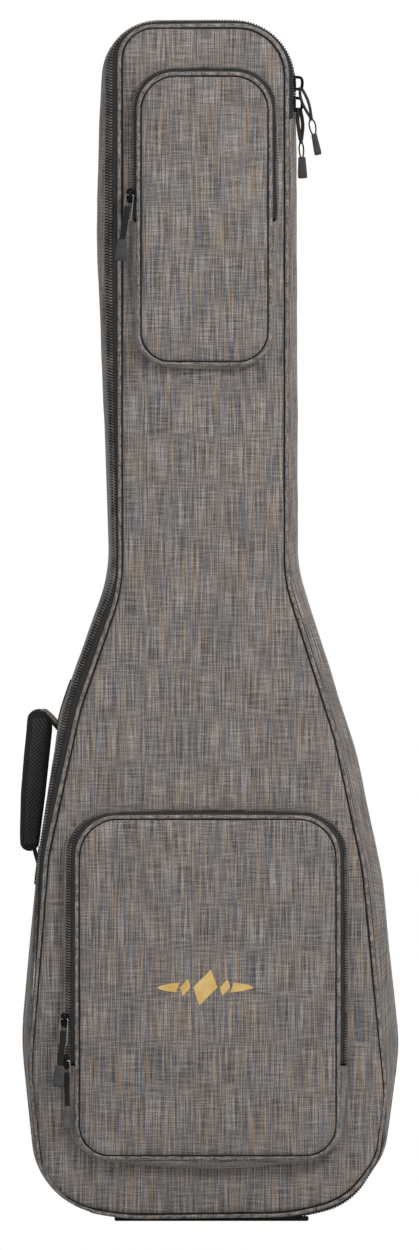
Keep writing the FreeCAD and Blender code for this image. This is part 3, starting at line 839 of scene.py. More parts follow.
def satinTree():
    tree = bpy.data.node_groups.new("satinStitches", "GeometryNodeTree")
    tree.interface.new_socket("Geometry", in_out="INPUT", socket_type="NodeSocketGeometry")
    tree.interface.new_socket("Thread Radius", in_out="INPUT", socket_type="NodeSocketFloat").default_value = 0.5 * mm
    tree.interface.new_socket("Material", in_out="INPUT", socket_type="NodeSocketMaterial")
    tree.interface.new_socket("Geometry", in_out="OUTPUT", socket_type="NodeSocketGeometry")
    given = addNode(tree, "NodeGroupInput").outputs
    thread = addNode(tree, "GeometryNodeMeshCylinder", {"Vertices": 8, "Radius": given["Thread Radius"], "Depth": 1.0})
    along = addNode(tree, "GeometryNodeInputNamedAttribute", {"Name": "along"}, data_type="FLOAT_VECTOR")
    face = addNode(tree, "GeometryNodeInputNamedAttribute", {"Name": "facing"}, data_type="FLOAT_VECTOR")
    turn = addNode(tree, "FunctionNodeAxesToRotation", {
        "Primary Axis": along.outputs["Attribute"], "Secondary Axis": face.outputs["Attribute"]},
        primary_axis="Z", secondary_axis="X")
    span = addNode(tree, "ShaderNodeVectorMath", {0: along.outputs["Attribute"]}, operation="LENGTH")
    size = addNode(tree, "ShaderNodeCombineXYZ", {"X": 1.0, "Y": 1.0, "Z": span.outputs["Value"]})
    placed = addNode(tree, "GeometryNodeInstanceOnPoints", {
        "Points": given["Geometry"], "Instance": thread.outputs["Mesh"], "Rotation": turn.outputs["Rotation"],
        "Scale": size.outputs["Vector"]})
    real = addNode(tree, "GeometryNodeRealizeInstances", {"Geometry": placed.outputs["Instances"]})
    painted = addNode(tree, "GeometryNodeSetMaterial", {
        "Geometry": real.outputs["Geometry"], "Material": given["Material"]})
    addNode(tree, "NodeGroupOutput", {"Geometry": painted.outputs["Geometry"]})
    return tree


def satin(x):
    # half the height of the stitched shape at a distance x from its middle
    first, last, height = ornament["bar"]
    tall = [h * (1 - abs(x - c) / w) for c, w, h in ornament["lozenges"] if abs(x - c) < w]
    if first < abs(x) < last:
        tall.append(height * math.sqrt((last - abs(x)) / (last - first)))
    return max(tall, default=0.0)


threadGold = moulded("rayonThread", "#d9b163", "#ecd08a", 0.35, grainSize=0.5, relief=0.1, Sheen_Weight=0.2)
pocketFace = bpy.data.objects["lowerPocketPanel"].data
facing = BVHTree.FromPolygons([v.co for v in pocketFace.vertices], [p.vertices for p in pocketFace.polygons])
starts, spans, normals = [], [], []
for x in np.arange(-49, 49, ornament["pitch"]):
    tall = satin(x)
    if tall < 0.7:
        continue
    ends = []
    for sign in (-1, 1):
        there = Vector(((ornament["x"] + x + sign * tall * ornament["slant"]) * mm, -0.2,
                        (ornament["z"] + sign * tall) * mm))
        spot, normal, _, _ = facing.ray_cast(there, Vector((0, 1, 0)))
        ends.append(np.array(spot + normal * ornament["lift"] * mm))
    starts.append((ends[0] + ends[1]) / 2)
    spans.append(ends[1] - ends[0])
    normals.append(np.array(normal))
stitched = baked("pocketOrnament", pointCloud("ornamentPoints", starts, along=spans, facing=normals), satinTree(),
                 {"Thread Radius": ornament["thread"] * mm, "Material": threadGold})
place(stitched, body="lower_flap", slot="cord")
print("ornament stitched")

# Hardware

gunmetal = moulded("gunmetalZinc", "#1c1c1e", "#303135", 0.28, grainSize=0.8, relief=0.04, Metallic=1.0)
nickel = moulded("nickelWire", "#8d8f92", "#b4b6b8", 0.26, grainSize=0.8, relief=0.03, Metallic=1.0)
gripRubber = moulded("gripRubber", "#2e2e30", "#434346", 0.62, relief=0.2)
# a lighter grey than the other grips, used for the lower B pocket grip
gripLight = moulded("gripRubberLighterGrey", "#454546", "#626263", 0.55, relief=0.2)
acetal = moulded("blackAcetal", "#161616", "#242424", 0.34, relief=0.08)
bumperRubber = moulded("bumperRubber", "#121212", "#222221", 0.66, grainSize=1.8, relief=0.3)
webbing = wovenBand("polyesterWebbing", "#171717", "#2e2d2d", pitch=2.2, relief=0.6)
cordNylon = wovenBand("braidedNylonCord", "#0b0b0b", "#232323", pitch=1.3, relief=0.7)
binding = wovenBand("grosgrainBinding", "#080808", "#131313", pitch=1.0, roughness=0.85, relief=0.35)
threadBlack = moulded("bondedThread", "#1c1b1b", "#343232", 0.5, relief=0.0)


def airMesh(name):
    # knitted spacer mesh: black diamonds with open holes about 2.6 mm apart. The holes are not cut: the middle of each
    # cell is painted near black as the shade inside the hole.
    material, tree, shader = newMaterial(name, 0.7)
    uv = addNode(tree, "ShaderNodeUVMap", uv_map="UVMap").outputs["UV"]
    turned = addNode(tree, "ShaderNodeMapping", {
        "Vector": uv, "Rotation": (0, 0, math.radians(45)), "Scale": (1 / (3.0 * mm), 1 / (3.0 * mm), 1)})
    cells = addNode(tree, "ShaderNodeTexVoronoi", {
        "Vector": turned.outputs["Vector"], "Scale": 1.0, "Randomness": 0.12}, distance="EUCLIDEAN")
    # painted shade: darkest in the middle of each cell, where the hole is
    colour = rampOf(tree, cells.outputs["Distance"], ((0.22, "#020202"), (0.42, "#111010"), (0.62, "#484544")))
    tree.links.new(colour, shader.inputs["Base Color"])
    bump = addNode(tree, "ShaderNodeBump", {
        "Height": cells.outputs["Distance"], "Strength": 0.9, "Distance": 1.0 * mm})
    tree.links.new(bump.outputs["Normal"], shader.inputs["Normal"])
    return material


mesh3d = airMesh("spacerMesh")


def settle(mesh, first, origin, across, along, up):
    # moves points made in mm about a local origin to their place in the bag
    origin, across, along, up = (np.array(v, float) for v in (origin, across, along, up))
    for k in range(first, len(mesh["verts"])):
        u, v, h = mesh["verts"][k]
        mesh["verts"][k] = tuple(origin * mm + (across * u + along * v + up * h) * mm)


def addSlab(mesh, outline, low, high, bevel, slot=0):
    # a plate of any convex outline, with rounded edges, between two heights
    outline = np.array(outline, float)
    step1 = outline - np.roll(outline, 1, 0)
    step2 = np.roll(outline, -1, 0) - outline
    n1 = np.stack([step1[:, 1], -step1[:, 0]], 1) / np.linalg.norm(step1, axis=1)[:, None]
    n2 = np.stack([step2[:, 1], -step2[:, 0]], 1) / np.linalg.norm(step2, axis=1)[:, None]
    normal = (n1 + n2) / (1 + (n1 * n2).sum(1))[:, None]
    area = 0.5 * (outline[:, 0] * np.roll(outline[:, 1], -1) - outline[:, 1] * np.roll(outline[:, 0], -1)).sum()
    normal = normal if area > 0 else -normal
    rings = []
    for inset, height in ((1, low), (0.29, low + bevel * 0.29), (0, low + bevel), (0, high - bevel),
                          (0.29, high - bevel * 0.29), (1, high)):
        ring = outline - normal * inset * bevel
        rings.append([(p[0], p[1], height) for p in ring])
    count = len(outline)
    first = addGrid(mesh, rings, slot, closeAround=True, uv=slabUv(rings))
    addFace(mesh, [first + j for j in range(count)][::-1], slot)
    addFace(mesh, [first + 5 * count + j for j in range(count)], slot)
    return first


def slabUv(rings):
    rings = np.array(rings) * mm
    uv = rings[:, :, :2] + rings[:, :, 2:3] * 0.7
    return np.concatenate([uv, uv[:, :1]], 1)


def roundedBox(halfWidth, halfLength, radius, steps=5, shift=(0, 0)):
    points = []
    for cx, cy, a0 in ((1, 1, 0), (-1, 1, 90), (-1, -1, 180), (1, -1, 270)):
        for k in range(steps + 1):
            a = math.radians(a0 + 90 * k / steps)
            points.append((shift[0] + cx * (halfWidth - radius) + radius * math.cos(a),
                           shift[1] + cy * (halfLength - radius) + radius * math.sin(a)))
    return points


def addLoft(mesh, centres, side, face, widths, depths, power=2.6, sides=24, slots=0, caps=True):
    # rings of rounded rectangles along a line; side and face may change along it
    centres, widths, depths = (np.asarray(a, float) for a in (centres, widths, depths))
    side, face = (np.broadcast_to(np.asarray(a, float), centres.shape) for a in (side, face))
    turns = np.linspace(0, 2 * math.pi, sides, endpoint=False) + math.pi / sides
    c, s = np.cos(turns), np.sin(turns)
    c, s = np.sign(c) * np.abs(c) ** (2 / power), np.sign(s) * np.abs(s) ** (2 / power)
    rings = (centres[:, None] + side[:, None] * (widths[:, None] * c)[:, :, None]
             + face[:, None] * (depths[:, None] * s)[:, :, None])
    first = addGrid(mesh, rings, slots, closeAround=True)
    if caps:
        endSlot = slots if isinstance(slots, int) else slots[0]
        addFace(mesh, [first + j for j in range(sides)][::-1], endSlot)
        last = first + (len(centres) - 1) * sides
        addFace(mesh, [last + j for j in range(sides)], endSlot)
    return first


def smoothLine(points, fineness=10):
    # the line of a NURBS curve with these points, in mm, as its control points
    curve = bpy.data.curves.new("route", "CURVE")
    curve.dimensions = "3D"
    curve.resolution_u = fineness
    spline = curve.splines.new("NURBS")
    spline.points.add(len(points) - 1)
    for target, p in zip(spline.points, points):
        target.co = (p[0] * mm, p[1] * mm, p[2] * mm, 1)
    spline.order_u = 3
    spline.use_endpoint_u = True
    holder = bpy.data.objects.new("route", curve)
    bpy.context.scene.collection.objects.link(holder)
    made = bpy.data.meshes.new_from_object(holder)
    line = np.array([tuple(v.co) for v in made.vertices])
    bpy.data.objects.remove(holder)
    bpy.data.meshes.remove(made)
    return line


def addRibbon(mesh, line, wide, width, thickness, slot=0, power=6):
    # a flat band along a line, wide in the given direction
    t = np.gradient(line, axis=0)
    t /= np.linalg.norm(t, axis=1)[:, None]
    wide = np.broadcast_to(np.asarray(wide, float), line.shape)
    wide = wide - t * (wide * t).sum(1)[:, None]
    wide = wide / np.linalg.norm(wide, axis=1)[:, None]
    face = np.cross(t, wide)
    count = len(line)
    addLoft(mesh, line, wide, face, np.full(count, width / 2 * mm), np.full(count, thickness / 2 * mm), power, 16, slot)


def stitches(name, line, up, pitch=3.6, length=2.5, radius=0.28, material=None, **placing):
    # a row of stitches along a line that lies on a surface facing up
    rows = evenly(line, pitch * mm, pitch * mm / 2)
    points = np.stack([np.interp(rows, np.arange(len(line)), line[:, k]) for k in range(3)], 1)
    along = np.gradient(line, axis=0)
    along = np.stack([np.interp(rows, np.arange(len(line)), along[:, k]) for k in range(3)], 1)
    facing = np.broadcast_to(np.asarray(up, float), points.shape)
    piece = baked(name, pointCloud(name + "Points", points, across=along, facing=facing), zipTeeth,
                  {"Tooth Length": length * mm, "Tooth Radius": radius * mm, "Material": material or threadBlack})
    return place(piece, **placing)


sliders = {
    "main_slider_a": {"at": (84.1, -33.1, 1172), "along": (0, 0, 1), "up": (1, 0, 0), "shift": -1.5, "bail": 6.2,
                      "size": (4.9, 8.5, 2.4)},
    "main_slider_b": {"at": (84.1, -33.1, 1150.5), "along": (0, 0, -1), "up": (1, 0, 0), "shift": 3.3, "bail": 5.9,
                      "size": (4.9, 8.5, 2.4)},
    "upper_slider": {"at": (-84, -57.4, 1056), "along": (0, 0, 1), "up": (0, -1, 0), "shift": 0, "bail": 4.6,
                     "size": (4.0, 7.5, 2.3)},
    "lower_slider_a": {"at": (-151.8, -61.4, 207), "along": (0, 0, 1), "up": (0, -1, 0), "shift": 0, "bail": 4.6,
                       "size": (4.0, 7.5, 2.3)},
    "lower_slider_b": {"at": (-151.2, -61.4, 163.8), "along": (0, 0, -1), "up": (0, -1, 0), "shift": 0, "bail": 4.6,
                       "size": (4.0, 7.5, 2.3)},
}


def slider(name, s):
    along, up = np.array(s["along"], float), np.array(s["up"], float)
    across = np.cross(along, up)
    w, l, t = s["size"]
    mesh = newMesh()
    top = [(-0.55 * w, -l), (0.55 * w, -l), (0.82 * w, -0.8 * l), (0.86 * w, -0.2 * l), (w, 0.25 * l),
           (w, 0.72 * l), (0.8 * w, 0.92 * l), (0.35 * w, l), (-0.35 * w, l), (-0.8 * w, 0.92 * l),
           (-w, 0.72 * l), (-w, 0.25 * l), (-0.86 * w, -0.2 * l), (-0.82 * w, -0.8 * l)]
    addSlab(mesh, top, t - 1.5, t, 0.5)
    for sign in (-1, 1):  # the flanges that guide the teeth
        flange = [(sign * 0.7 * w, -0.75 * l), (sign * 0.88 * w, -0.75 * l), (sign * 1.0 * w, 0.2 * l),
                  (sign * 1.0 * w, 0.75 * l), (sign * 0.8 * w, 0.75 * l), (sign * 0.72 * w, 0.1 * l)]
        addSlab(mesh, flange[::sign], 0.05, t - 1.0, 0.25)
    settle(mesh, 0, s["at"], across, along, up)
    b = s["bail"]
    reach = 6.1
    arc = [(0, -reach, t - 0.6), (0, -reach - 0.2, t + b * 0.75), (0, -reach * 0.55, t + b * 1.05),
           (0, reach * 0.55, t + b * 1.05), (0, reach + 0.2, t + b * 0.75), (0, reach, t - 0.6)]
    place3 = np.array(s["at"], float)
    route = [place3 + across * s["shift"] * (1 if name != "main_slider_b" else -1) + along * v + up * h
             for _, v, h in arc]
    addTube(mesh, smoothLine(route), 1.55 * mm, 12, up=across)
    finishPiece(name.replace("_s", "S") + "Body", mesh, [gunmetal], body=name, replaces=(name,), slot="slider_metal",
                sharp=38)


for name, s in sliders.items():
    slider(name, s)


def grip(mesh, top, down, side, length, width, thickness, slot=0):
    # a moulded rubber grip: narrow neck, wide rounded end, finger ribs on the lower half
    top, down, side = (np.array(v, float) for v in (top, down, side))
    down = down / np.linalg.norm(down)
    side = side - down * side.dot(down)
    side = side / np.linalg.norm(side)
    v = np.linspace(0, 1, 34)
    w = np.interp(v, (0, 0.05, 0.3, 0.75, 0.94, 0.98, 1), (0.6, 0.8, 0.86, 1, 1, 0.92, 0.74))
    t = np.interp(v, (0, 0.06, 0.3, 0.8, 0.96, 1), (0.5, 0.8, 1, 1, 0.8, 0.4))
    ribs = np.where((v > 0.36) & (v < 0.86), 0.09 * np.cos((v - 0.36) / 0.1 * 2 * math.pi), 0)
    centres = (top + down * (v * length)[:, None]) * mm
    addLoft(mesh, centres, side, np.cross(down, side), w * width / 2 * mm, (t + ribs) * thickness / 2 * mm,
            4.6, 28, slot)


# Main zip pullers: routes in mm of the two strands above the knot and of the loop below it
mainPullers = {
    "a": {"strands": [[(90.6, -35.4, 1167.6), (90.0, -36.0, 1160), (94.5, -37.2, 1147), (101.5, -38.2, 1136.5)],
                      [(92.0, -33.6, 1166.9), (96.5, -35.2, 1160), (101.0, -37.6, 1148), (102.3, -38.2, 1136.5)]],
          "knot": (102, -38.2, 1135.6), "gripTop": (105.2, -38, 1118.6), "gripEnd": (109.4, -38, 1098),
          "thick": 3.0, "loop": 2.3, "width": 7.4, "material": "gripRubber"},
    "b": {"strands": [[(88.6, -31.2, 1146.6), (87.9, -29.4, 1136), (89.4, -26.8, 1122), (91.2, -26.6, 1113.5)],
                      [(90.4, -28.6, 1146.4), (93.6, -27.0, 1134), (93.2, -25.0, 1121), (91.9, -26.6, 1113.5)]],
          "knot": (91.6, -26.5, 1112), "gripTop": (92.6, -26.4, 1094.6), "gripEnd": (93.4, -26.4, 1073.8),
          "thick": 3.9, "loop": 1.6, "width": 9.6, "material": "gripRubber"},
}
for key, p in mainPullers.items():
    body = "main_puller_" + key
    first = smoothLine(p["strands"][0])
    mesh = newMesh()
    addTube(mesh, first, p["thick"] / 2 * mm, 12)
    strand = finishPiece("mainPuller%sStrand" % key.upper(), mesh, [cordNylon], body=body, slot="cord")
    mesh = newMesh()
    addTube(mesh, smoothLine(p["strands"][1]), p["thick"] / 2 * mm, 12)
    knot, top = np.array(p["knot"]), np.array(p["gripTop"])
    down = (top - knot) / np.linalg.norm(top - knot)
    turns = np.linspace(0, 4 * math.pi, 34)
    side = np.cross((0, 1, 0), down)
    coil = [knot + down * (h - 1) * 0.42 * p["thick"] + (side * math.cos(a) + np.array((0, 1, 0)) * math.sin(a)) * 1.25
            for h, a in zip(np.linspace(0, 2.4, 34), turns)]
    addTube(mesh, np.array(coil) * mm, 0.95 * mm, 10)
    for sign in (-1, 1):
        route = [knot, knot + down * 3 + side * sign * p["loop"] * 1.5, top - down * 3 + side * sign * p["loop"] * 1.3,
                 top + down * 2]
        addTube(mesh, smoothLine(route), 0.85 * mm, 10)
    rest = finishPiece("mainPuller%sLoop" % key.upper(), mesh, [cordNylon], body=body,
                       replaces=(body + "_cord",), slot="cord")
    mesh = newMesh()
    end = np.array(p["gripEnd"])
    grip(mesh, top - down * 1.5, end - top, side, np.linalg.norm(end - top) + 1.5, p["width"], 6.0)
    finishPiece("mainPuller%sGrip" % key.upper(), mesh, [gripRubber], body=body, replaces=(body + "_grip",),
                slot="grip_rubber")
    tuple(c * mm for c in p["strands"][0][0])
    [tuple(q) for q in first]

# Pocket pullers: a steel wire frame, a folded ribbon through it and a rubber grip; points in mm
pocketPullers = {
    "upper": {"frame": ((-84.6, -62.0, 1057), (-87.4, -63.4, 1031)), "ribbon": ((-87.3, -63.6, 1045),
              (-89.2, -64.2, 1026), (-93.2, -64.8, 1010)), "end": (-94.0, -65.4, 989), "width": 11.5, "light": False},
    "lower_a": {"frame": ((-152.3, -66.0, 208), (-153.6, -70.6, 181)), "ribbon": ((-153.4, -69.0, 196),
                (-154.6, -72.4, 176), (-156.8, -75.4, 159)), "end": (-158.4, -78.4, 138), "width": 12, "light": False},
    "lower_b": {"frame": ((-150.6, -66.0, 165), (-149.6, -66.4, 139.5)), "ribbon": ((-149.9, -66.4, 153),
                (-149.4, -66.4, 132), (-149.2, -66.2, 117)), "end": (-149.2, -66.2, 94.5), "width": 7.6, "light": True},
}
for key, p in pocketPullers.items():
    body = {"upper": "upper_puller", "lower_a": "lower_puller_a", "lower_b": "lower_puller_b"}[key]
    title = body.replace("_p", "P").replace("_a", "A").replace("_b", "B")
    top, low = np.array(p["frame"][0]), np.array(p["frame"][1])
    down = (low - top) / np.linalg.norm(low - top)
    side = np.array((1.0, 0, 0)) - down * down[0]
    side /= np.linalg.norm(side)
    corners = roundedBox(3.9, np.linalg.norm(low - top) / 2, 1.6, 4)
    middle = (top + low) / 2
    ring = np.array([(middle + side * u + down * v) * mm for u, v in corners])
    mesh = newMesh()
    addTube(mesh, ring, 0.78 * mm, 10, closed=True, up=np.cross(side, down))
    finishPiece(title + "Frame", mesh, [nickel], body=body, replaces=(body + "_tab",), slot="slider_metal")
    mesh = newMesh()
    line = smoothLine(p["ribbon"])
    for lift in (-0.75, 0.75):
        addRibbon(mesh, line + np.cross(side, down) * lift * mm, side, 5.4 if key == "lower_b" else 6.2, 1.3)
    finishPiece(title + "Ribbon", mesh, [binding], body=body, replaces=(body + "_cord",), slot="cord")
    mesh = newMesh()
    end = np.array(p["end"], float)
    start = line[-1] / mm
    grip(mesh, start - (end - start) * 0.06, end - start, side, np.linalg.norm(end - start) * 1.06, p["width"], 5.6)
    finishPiece(title + "Grip", mesh, [gripLight if p["light"] else gripRubber], body=body,
                replaces=(body + "_grip",), slot="grip_rubber")
print("sliders and pullers made")

# Side handle: at each z the pad's left and right edges, in mm; its ends round off over "cap"
handle = {
    "edges": [(527.5, -190, -166), (508, -191, -164.2), (478, -194, -167.4), (440, -197, -171.4), (400, -198, -176.5),
              (381, -197.6, -178.5)],
    "y": 9.0, "thickness": 13.0, "cap": (11, 9),
}
turn = np.linspace(0, math.pi / 2, 9)
highest, lowest = handle["edges"][0][0], handle["edges"][-1][0]
z = np.concatenate([highest - handle["cap"][0] * (1 - np.sin(turn[1:]))[::-1],
                    np.linspace(highest - handle["cap"][0], lowest + handle["cap"][1], 34)[1:-1],
                    lowest + handle["cap"][1] * (1 - np.sin(turn[1:]))])
given = np.array(handle["edges"])[::-1]
leftEdge, rightEdge = (np.interp(z, given[:, 0], given[:, k]) for k in (1, 2))
roundOff = np.minimum(np.sqrt(np.clip(1 - np.clip((z - highest) / handle["cap"][0] + 1, 0, 1) ** 2, 0, 1)),
                      np.sqrt(np.clip(1 - np.clip((lowest - z) / handle["cap"][1] + 1, 0, 1) ** 2, 0, 1)))
half = (rightEdge - leftEdge) / 2 * roundOff
deep = handle["thickness"] / 2 * roundOff ** 0.7
line = np.stack([(leftEdge + rightEdge) / 2, np.full(len(z), handle["y"]), z], 1) * mm
sideways = np.broadcast_to(np.array((1.0, 0, 0)), line.shape)
sides = 40
ring = np.cos(np.linspace(0, 2 * math.pi, sides, endpoint=False) + math.pi / sides)
bound = np.abs(np.sign(ring) * np.abs(ring) ** (2 / 3.4)) > 0.68
mesh = newMesh()
addLoft(mesh, line, sideways, (0, 1, 0), half * mm, deep * mm, 3.4, sides,
        [1 if bound[j] or bound[(j + 1) % sides] else 0 for j in range(sides)])
perRow = sides
rows = len(line) - 1
for i in range(rows):
    if min(i, rows - 1 - i) < 7:
        for j in range(perRow):
            mesh["slots"][i * perRow + j] = 1
grab = finishPiece("handlePad", mesh, [mesh3d, binding], body="handle", replaces=("handle",), slot="air_mesh", levels=1)
for y, facing in ((handle["y"] - 6.3, -1), (handle["y"] + 6.3, 1)):
    edges = []
    for sign in (-1, 1):
        edges.append(line + sideways * (half * sign * 0.66 * mm)[:, None] + np.array((0, (y - handle["y"]) * mm, 0)))
    loop = np.concatenate([edges[0][4:-4], edges[1][4:-4][::-1], edges[0][4:5]])
    stitches("handleStitches" + ("Front" if facing < 0 else "Back"), loop, (0, facing, 0), body="handle",
             slot="webbing")
mesh = newMesh()
ends = {
    "top": [(-180, 16, 520), (-175, 17, 527), (-167.5, 16, 523), (-157.5, 12, 511)],
    "edge": [(-179, 16, 516), (-174.5, 17, 522.6), (-168.5, 16, 518.6), (-158.5, 12, 506.5)],
    "low": [(-184, 15, 394), (-183.5, 15.5, 386), (-182, 15, 379), (-179.5, 13, 371)],
}
addRibbon(mesh, smoothLine(ends["top"]), (0, 1, 0), 24, 4.6)
addRibbon(mesh, smoothLine(ends["edge"]), (0, 1, 0), 25, 3.4, slot=1)
addRibbon(mesh, smoothLine(ends["low"]), (0, 1, 0), 22, 4.4, slot=1)
finishPiece("handleTabs", mesh, [heather, binding], body="handle", slot="heather_fabric")
mesh = newMesh()
baseRows = [[i for i in range(edgeCount) if low * mm < widest[i][1] < high * mm and widest[i][0] < -0.1]
            for low, high in ((505, 560), (346, 390))]
for rowsHere in baseRows:
    addStrip(mesh, rowsHere, wallPoints, lambda i: wallLength(i) - 46 * mm, lambda i: wallLength(i) - 17 * mm, 8,
             1.5 * mm, 2.0 * mm)
finishPiece("handleBases", mesh, [webbing], body="case", replaces=("handle_base",), slot="webbing")
for k, rowsHere in enumerate(baseRows):
    edge1 = np.concatenate([wallPoints(i, np.array([wallLength(i) - 43 * mm]), 1.55 * mm) for i in rowsHere])
    edge2 = np.concatenate([wallPoints(i, np.array([wallLength(i) - 20 * mm]), 1.55 * mm) for i in rowsHere])
    stitches("handleBaseStitches%d" % k, np.concatenate([edge1, edge2[::-1], edge1[:1]]), (-1, 0, 0), body="case",
             slot="webbing")
print("handle made")

# Shoulder straps: each bows off the back between its sewn ends; sizes in mm
straps = {"top": (45, 850), "end": (112, 92), "back": 46, "rise": 46, "pad": (40, 440), "width": 62, "thickness": 11,
          "webbing": (432, 762), "webbingWidth": 25, "buckle": (448, 482)}


def strapLine(side, start, end, height, count):
    top = np.array((side * straps["top"][0], straps["back"], straps["top"][1]), float)
    low = np.array((side * straps["end"][0], straps["back"], straps["end"][1]), float)
    length = np.linalg.norm(low - top)
    along = (low - top) / length
    off = np.array((0, 1.0, 0))
    radius = length ** 2 / (8 * straps["rise"]) + straps["rise"] / 2
    points, normals = [], []
    for s in np.linspace(start, end, count):
        turn = math.asin((s - length / 2) / radius)
        normal = along * math.sin(turn) + off * math.cos(turn)
        lift = (radius + height) * math.cos(turn) - radius + straps["rise"]
        points.append(top + along * (length / 2 + (radius + height) * math.sin(turn)) + off * lift)
        normals.append(normal)
    return np.array(points) * mm, np.array(normals), np.cross(along, off)


for name, side in (("left", -1), ("right", 1)):
    body = "shoulder_strap_" + name
    low, high = straps["pad"]
    line, normals, across = strapLine(side, low, high, 5.5, 60)
    v = np.linspace(0, 1, 60)
    shape = np.clip(np.minimum(v, 1 - v) * 22, 0, 1)
    wide = straps["width"] / 2 * (0.72 + 0.28 * np.sqrt(shape)) * (1 - 0.1 * np.sin(v * math.pi))
    deep = straps["thickness"] / 2 * (0.35 + 0.65 * np.sqrt(shape))
    sides = 48
    turns = np.linspace(0, 2 * math.pi, sides, endpoint=False) + math.pi / sides
    slots = []
    for a in turns + math.pi / sides:
        across1 = math.copysign(abs(math.cos(a)) ** (2 / 3.2), math.cos(a))
        slots.append(2 if abs(across1) > 0.86 else (1 if math.sin(a) > 0 else 0))
    mesh = newMesh()
    addLoft(mesh, line, across, -normals, wide * mm, deep * mm, 3.2, sides, slots)
    pad = finishPiece("shoulderPad" + name.title(), mesh, [heather, mesh3d, binding], body=body,
                      replaces=("shoulder_pad_" + name,), slot="air_mesh")
    edges = [line + across * (wide * 0.84 * sign * mm)[:, None] + normals * (deep * 0.93 * mm)[:, None]
             for sign in (-1, 1)]
    stitches("shoulderPadStitches" + name.title(), np.concatenate([edges[0][3:-3], edges[1][3:-3][::-1]]), (0, 1, 0),
             body=body, slot="webbing")
    # the webbing, which is sewn on at the case
    mesh = newMesh()
    low, high = straps["webbing"]
    line, normals, across = strapLine(side, low, high, 4.1, 60)
    addRibbon(mesh, line, across, straps["webbingWidth"], 1.9)
    line, normals, across = strapLine(side, 440, 560, 7.9, 16)  # the loose tail above the buckle
    addRibbon(mesh, line[3:], across, straps["webbingWidth"], 1.8)
    foot = straps["end"][1] * mm
    finishPiece("strapWebbing" + name.title(), mesh, [webbing], blend=("case", body, (0, 0, foot), (0, 0, foot + 0.12)),
                replaces=("strap_webbing_" + name,), slot="webbing")
    mesh = newMesh()
    line, normals, across = strapLine(side, -2, 52, 4.0, 24)
    addRibbon(mesh, line, across, 38, 2.2)
    head = straps["top"][1] * mm
    finishPiece("strapHead" + name.title(), mesh, [webbing], blend=("case", body, (0, 0, head), (0, 0, head - 0.045)),
                slot="webbing")
    mesh = newMesh()
    low, high = straps["buckle"]
    for s, thick, lift in ((low + 2.5, 2.4, 4.8), ((low + high) / 2, 2.1, 6.2), (high - 2.5, 2.4, 4.8)):
        line, normals, across = strapLine(side, s - 1, s + 1, lift, 3)
        bar = np.array([line[1] - across * 17 * mm, line[1] + across * 17 * mm])
        addLoft(mesh, bar, np.cross(across, normals[1]), normals[1],
                np.full(2, thick * mm), np.full(2, 1.5 * mm), 3, 14)
    for sign in (-1, 1):
        line, normals, across = strapLine(side, low, high, 4.8, 12)
        rail = line + across * sign * 16.2 * mm
        addLoft(mesh, rail, across, normals, np.full(12, 2.0 * mm), np.full(12, 3.6 * mm), 3, 14)
    finishPiece("ladderLock" + name.title(), mesh, [acetal], body=body, replaces=("strap_buckle_" + name,),
                slot="buckle_plastic", sharp=50)

mesh = newMesh()
patches = []
for side in (-1, 1):
    for x, w, z0, z1 in ((45, 24, 824, 872), (112, 20, 74, 112)):
        first = addSlab(mesh, roundedBox(w, (z1 - z0) / 2, 2.5), -0.6, 3.0, 0.9)
        settle(mesh, first, (side * x, 46, (z0 + z1) / 2), (1, 0, 0), (0, 0, 1), (0, 1, 0))
        patches.append((side * x, w - 4, (z0 + z1) / 2, (z1 - z0) / 2 - 4))
finishPiece("strapAnchors", mesh, [webbing], body="case", replaces=("strap_anchors",), slot="webbing")
for k, (x, w, z, l) in enumerate(patches):
    cross = [(-w, -l), (w, -l), (w, l), (-w, l), (-w, -l), (w, l), (w, l), (-w, l), (w, -l)]
    points = []
    for a, b in zip(cross, cross[1:]):
        points.extend([((x + a[0] + (b[0] - a[0]) * t) * mm, 49.05 * mm, (z + a[1] + (b[1] - a[1]) * t) * mm)
                       for t in np.linspace(0, 1, 8)[:-1]])
    stitches("anchorStitches%d" % k, np.array(points), (0, 1, 0), pitch=3.2, length=2.3, body="case", slot="webbing")

mesh = newMesh()
loopRoute = [(-50, 46.2, 1165), (-40, 46.2, 1165), (-35, 46.2, 1165), (-34.6, 57.4, 1165), (-28, 58.2, 1165),
             (12, 58.2, 1165), (18.6, 57.4, 1165), (19, 46.2, 1165), (24, 46.2, 1165), (34, 46.2, 1165)]
addRibbon(mesh, smoothLine(loopRoute), (0, 0, 1), 29, 2.3)
finishPiece("hangingLoop", mesh, [webbing], body="case", replaces=("hanging_loop",), slot="webbing")

# Inside: neck cradle with its strap, and the pad under the instrument's end
mesh = newMesh()
channel = [(-8 + 33 * math.cos(a), -4 + 33 * math.sin(a)) for a in np.linspace(0.06, math.pi - 0.06, 26)]
outlineCradle = [(50, 33.5), (50, -4), *channel, (-66, -4), (-66, 33.5)]
cradleHeights = (930, 933, 960, 989, 992)
first = addGrid(mesh, [[(x, y, z) for x, y in outlineCradle] for z in cradleHeights], 0, closeAround=True,
                uv=np.array([[(k * 4 * mm, z * mm) for k in range(len(outlineCradle) + 1)] for z in cradleHeights]))
count = len(outlineCradle)
for base, flip in ((first, 1), (first + 4 * count, -1)):
    addFace(mesh, [base + j for j in range(count)][::-flip])
mesh["verts"] = [tuple(c * mm for c in v) for v in mesh["verts"]]
cradlePiece = finishPiece("neckCradle", mesh, [lining], body="case", replaces=("neck_cradle",), slot="lining", sharp=40)
mesh = newMesh()
addRibbon(mesh, smoothLine([(-66, -5.5, 961), (-50, -5.8, 961), (-8, -6.2, 961), (34, -5.8, 961), (50, -5.5, 961)]),
          (0, 0, 1), 25, 2.4)
finishPiece("neckStrap", mesh, [webbing], body="case", replaces=("neck_strap",), slot="webbing")
mesh = newMesh()
z = np.linspace(13, 34, 9)
swell = np.interp(z, (13, 16, 31, 34), (0.94, 1, 1, 0.93))
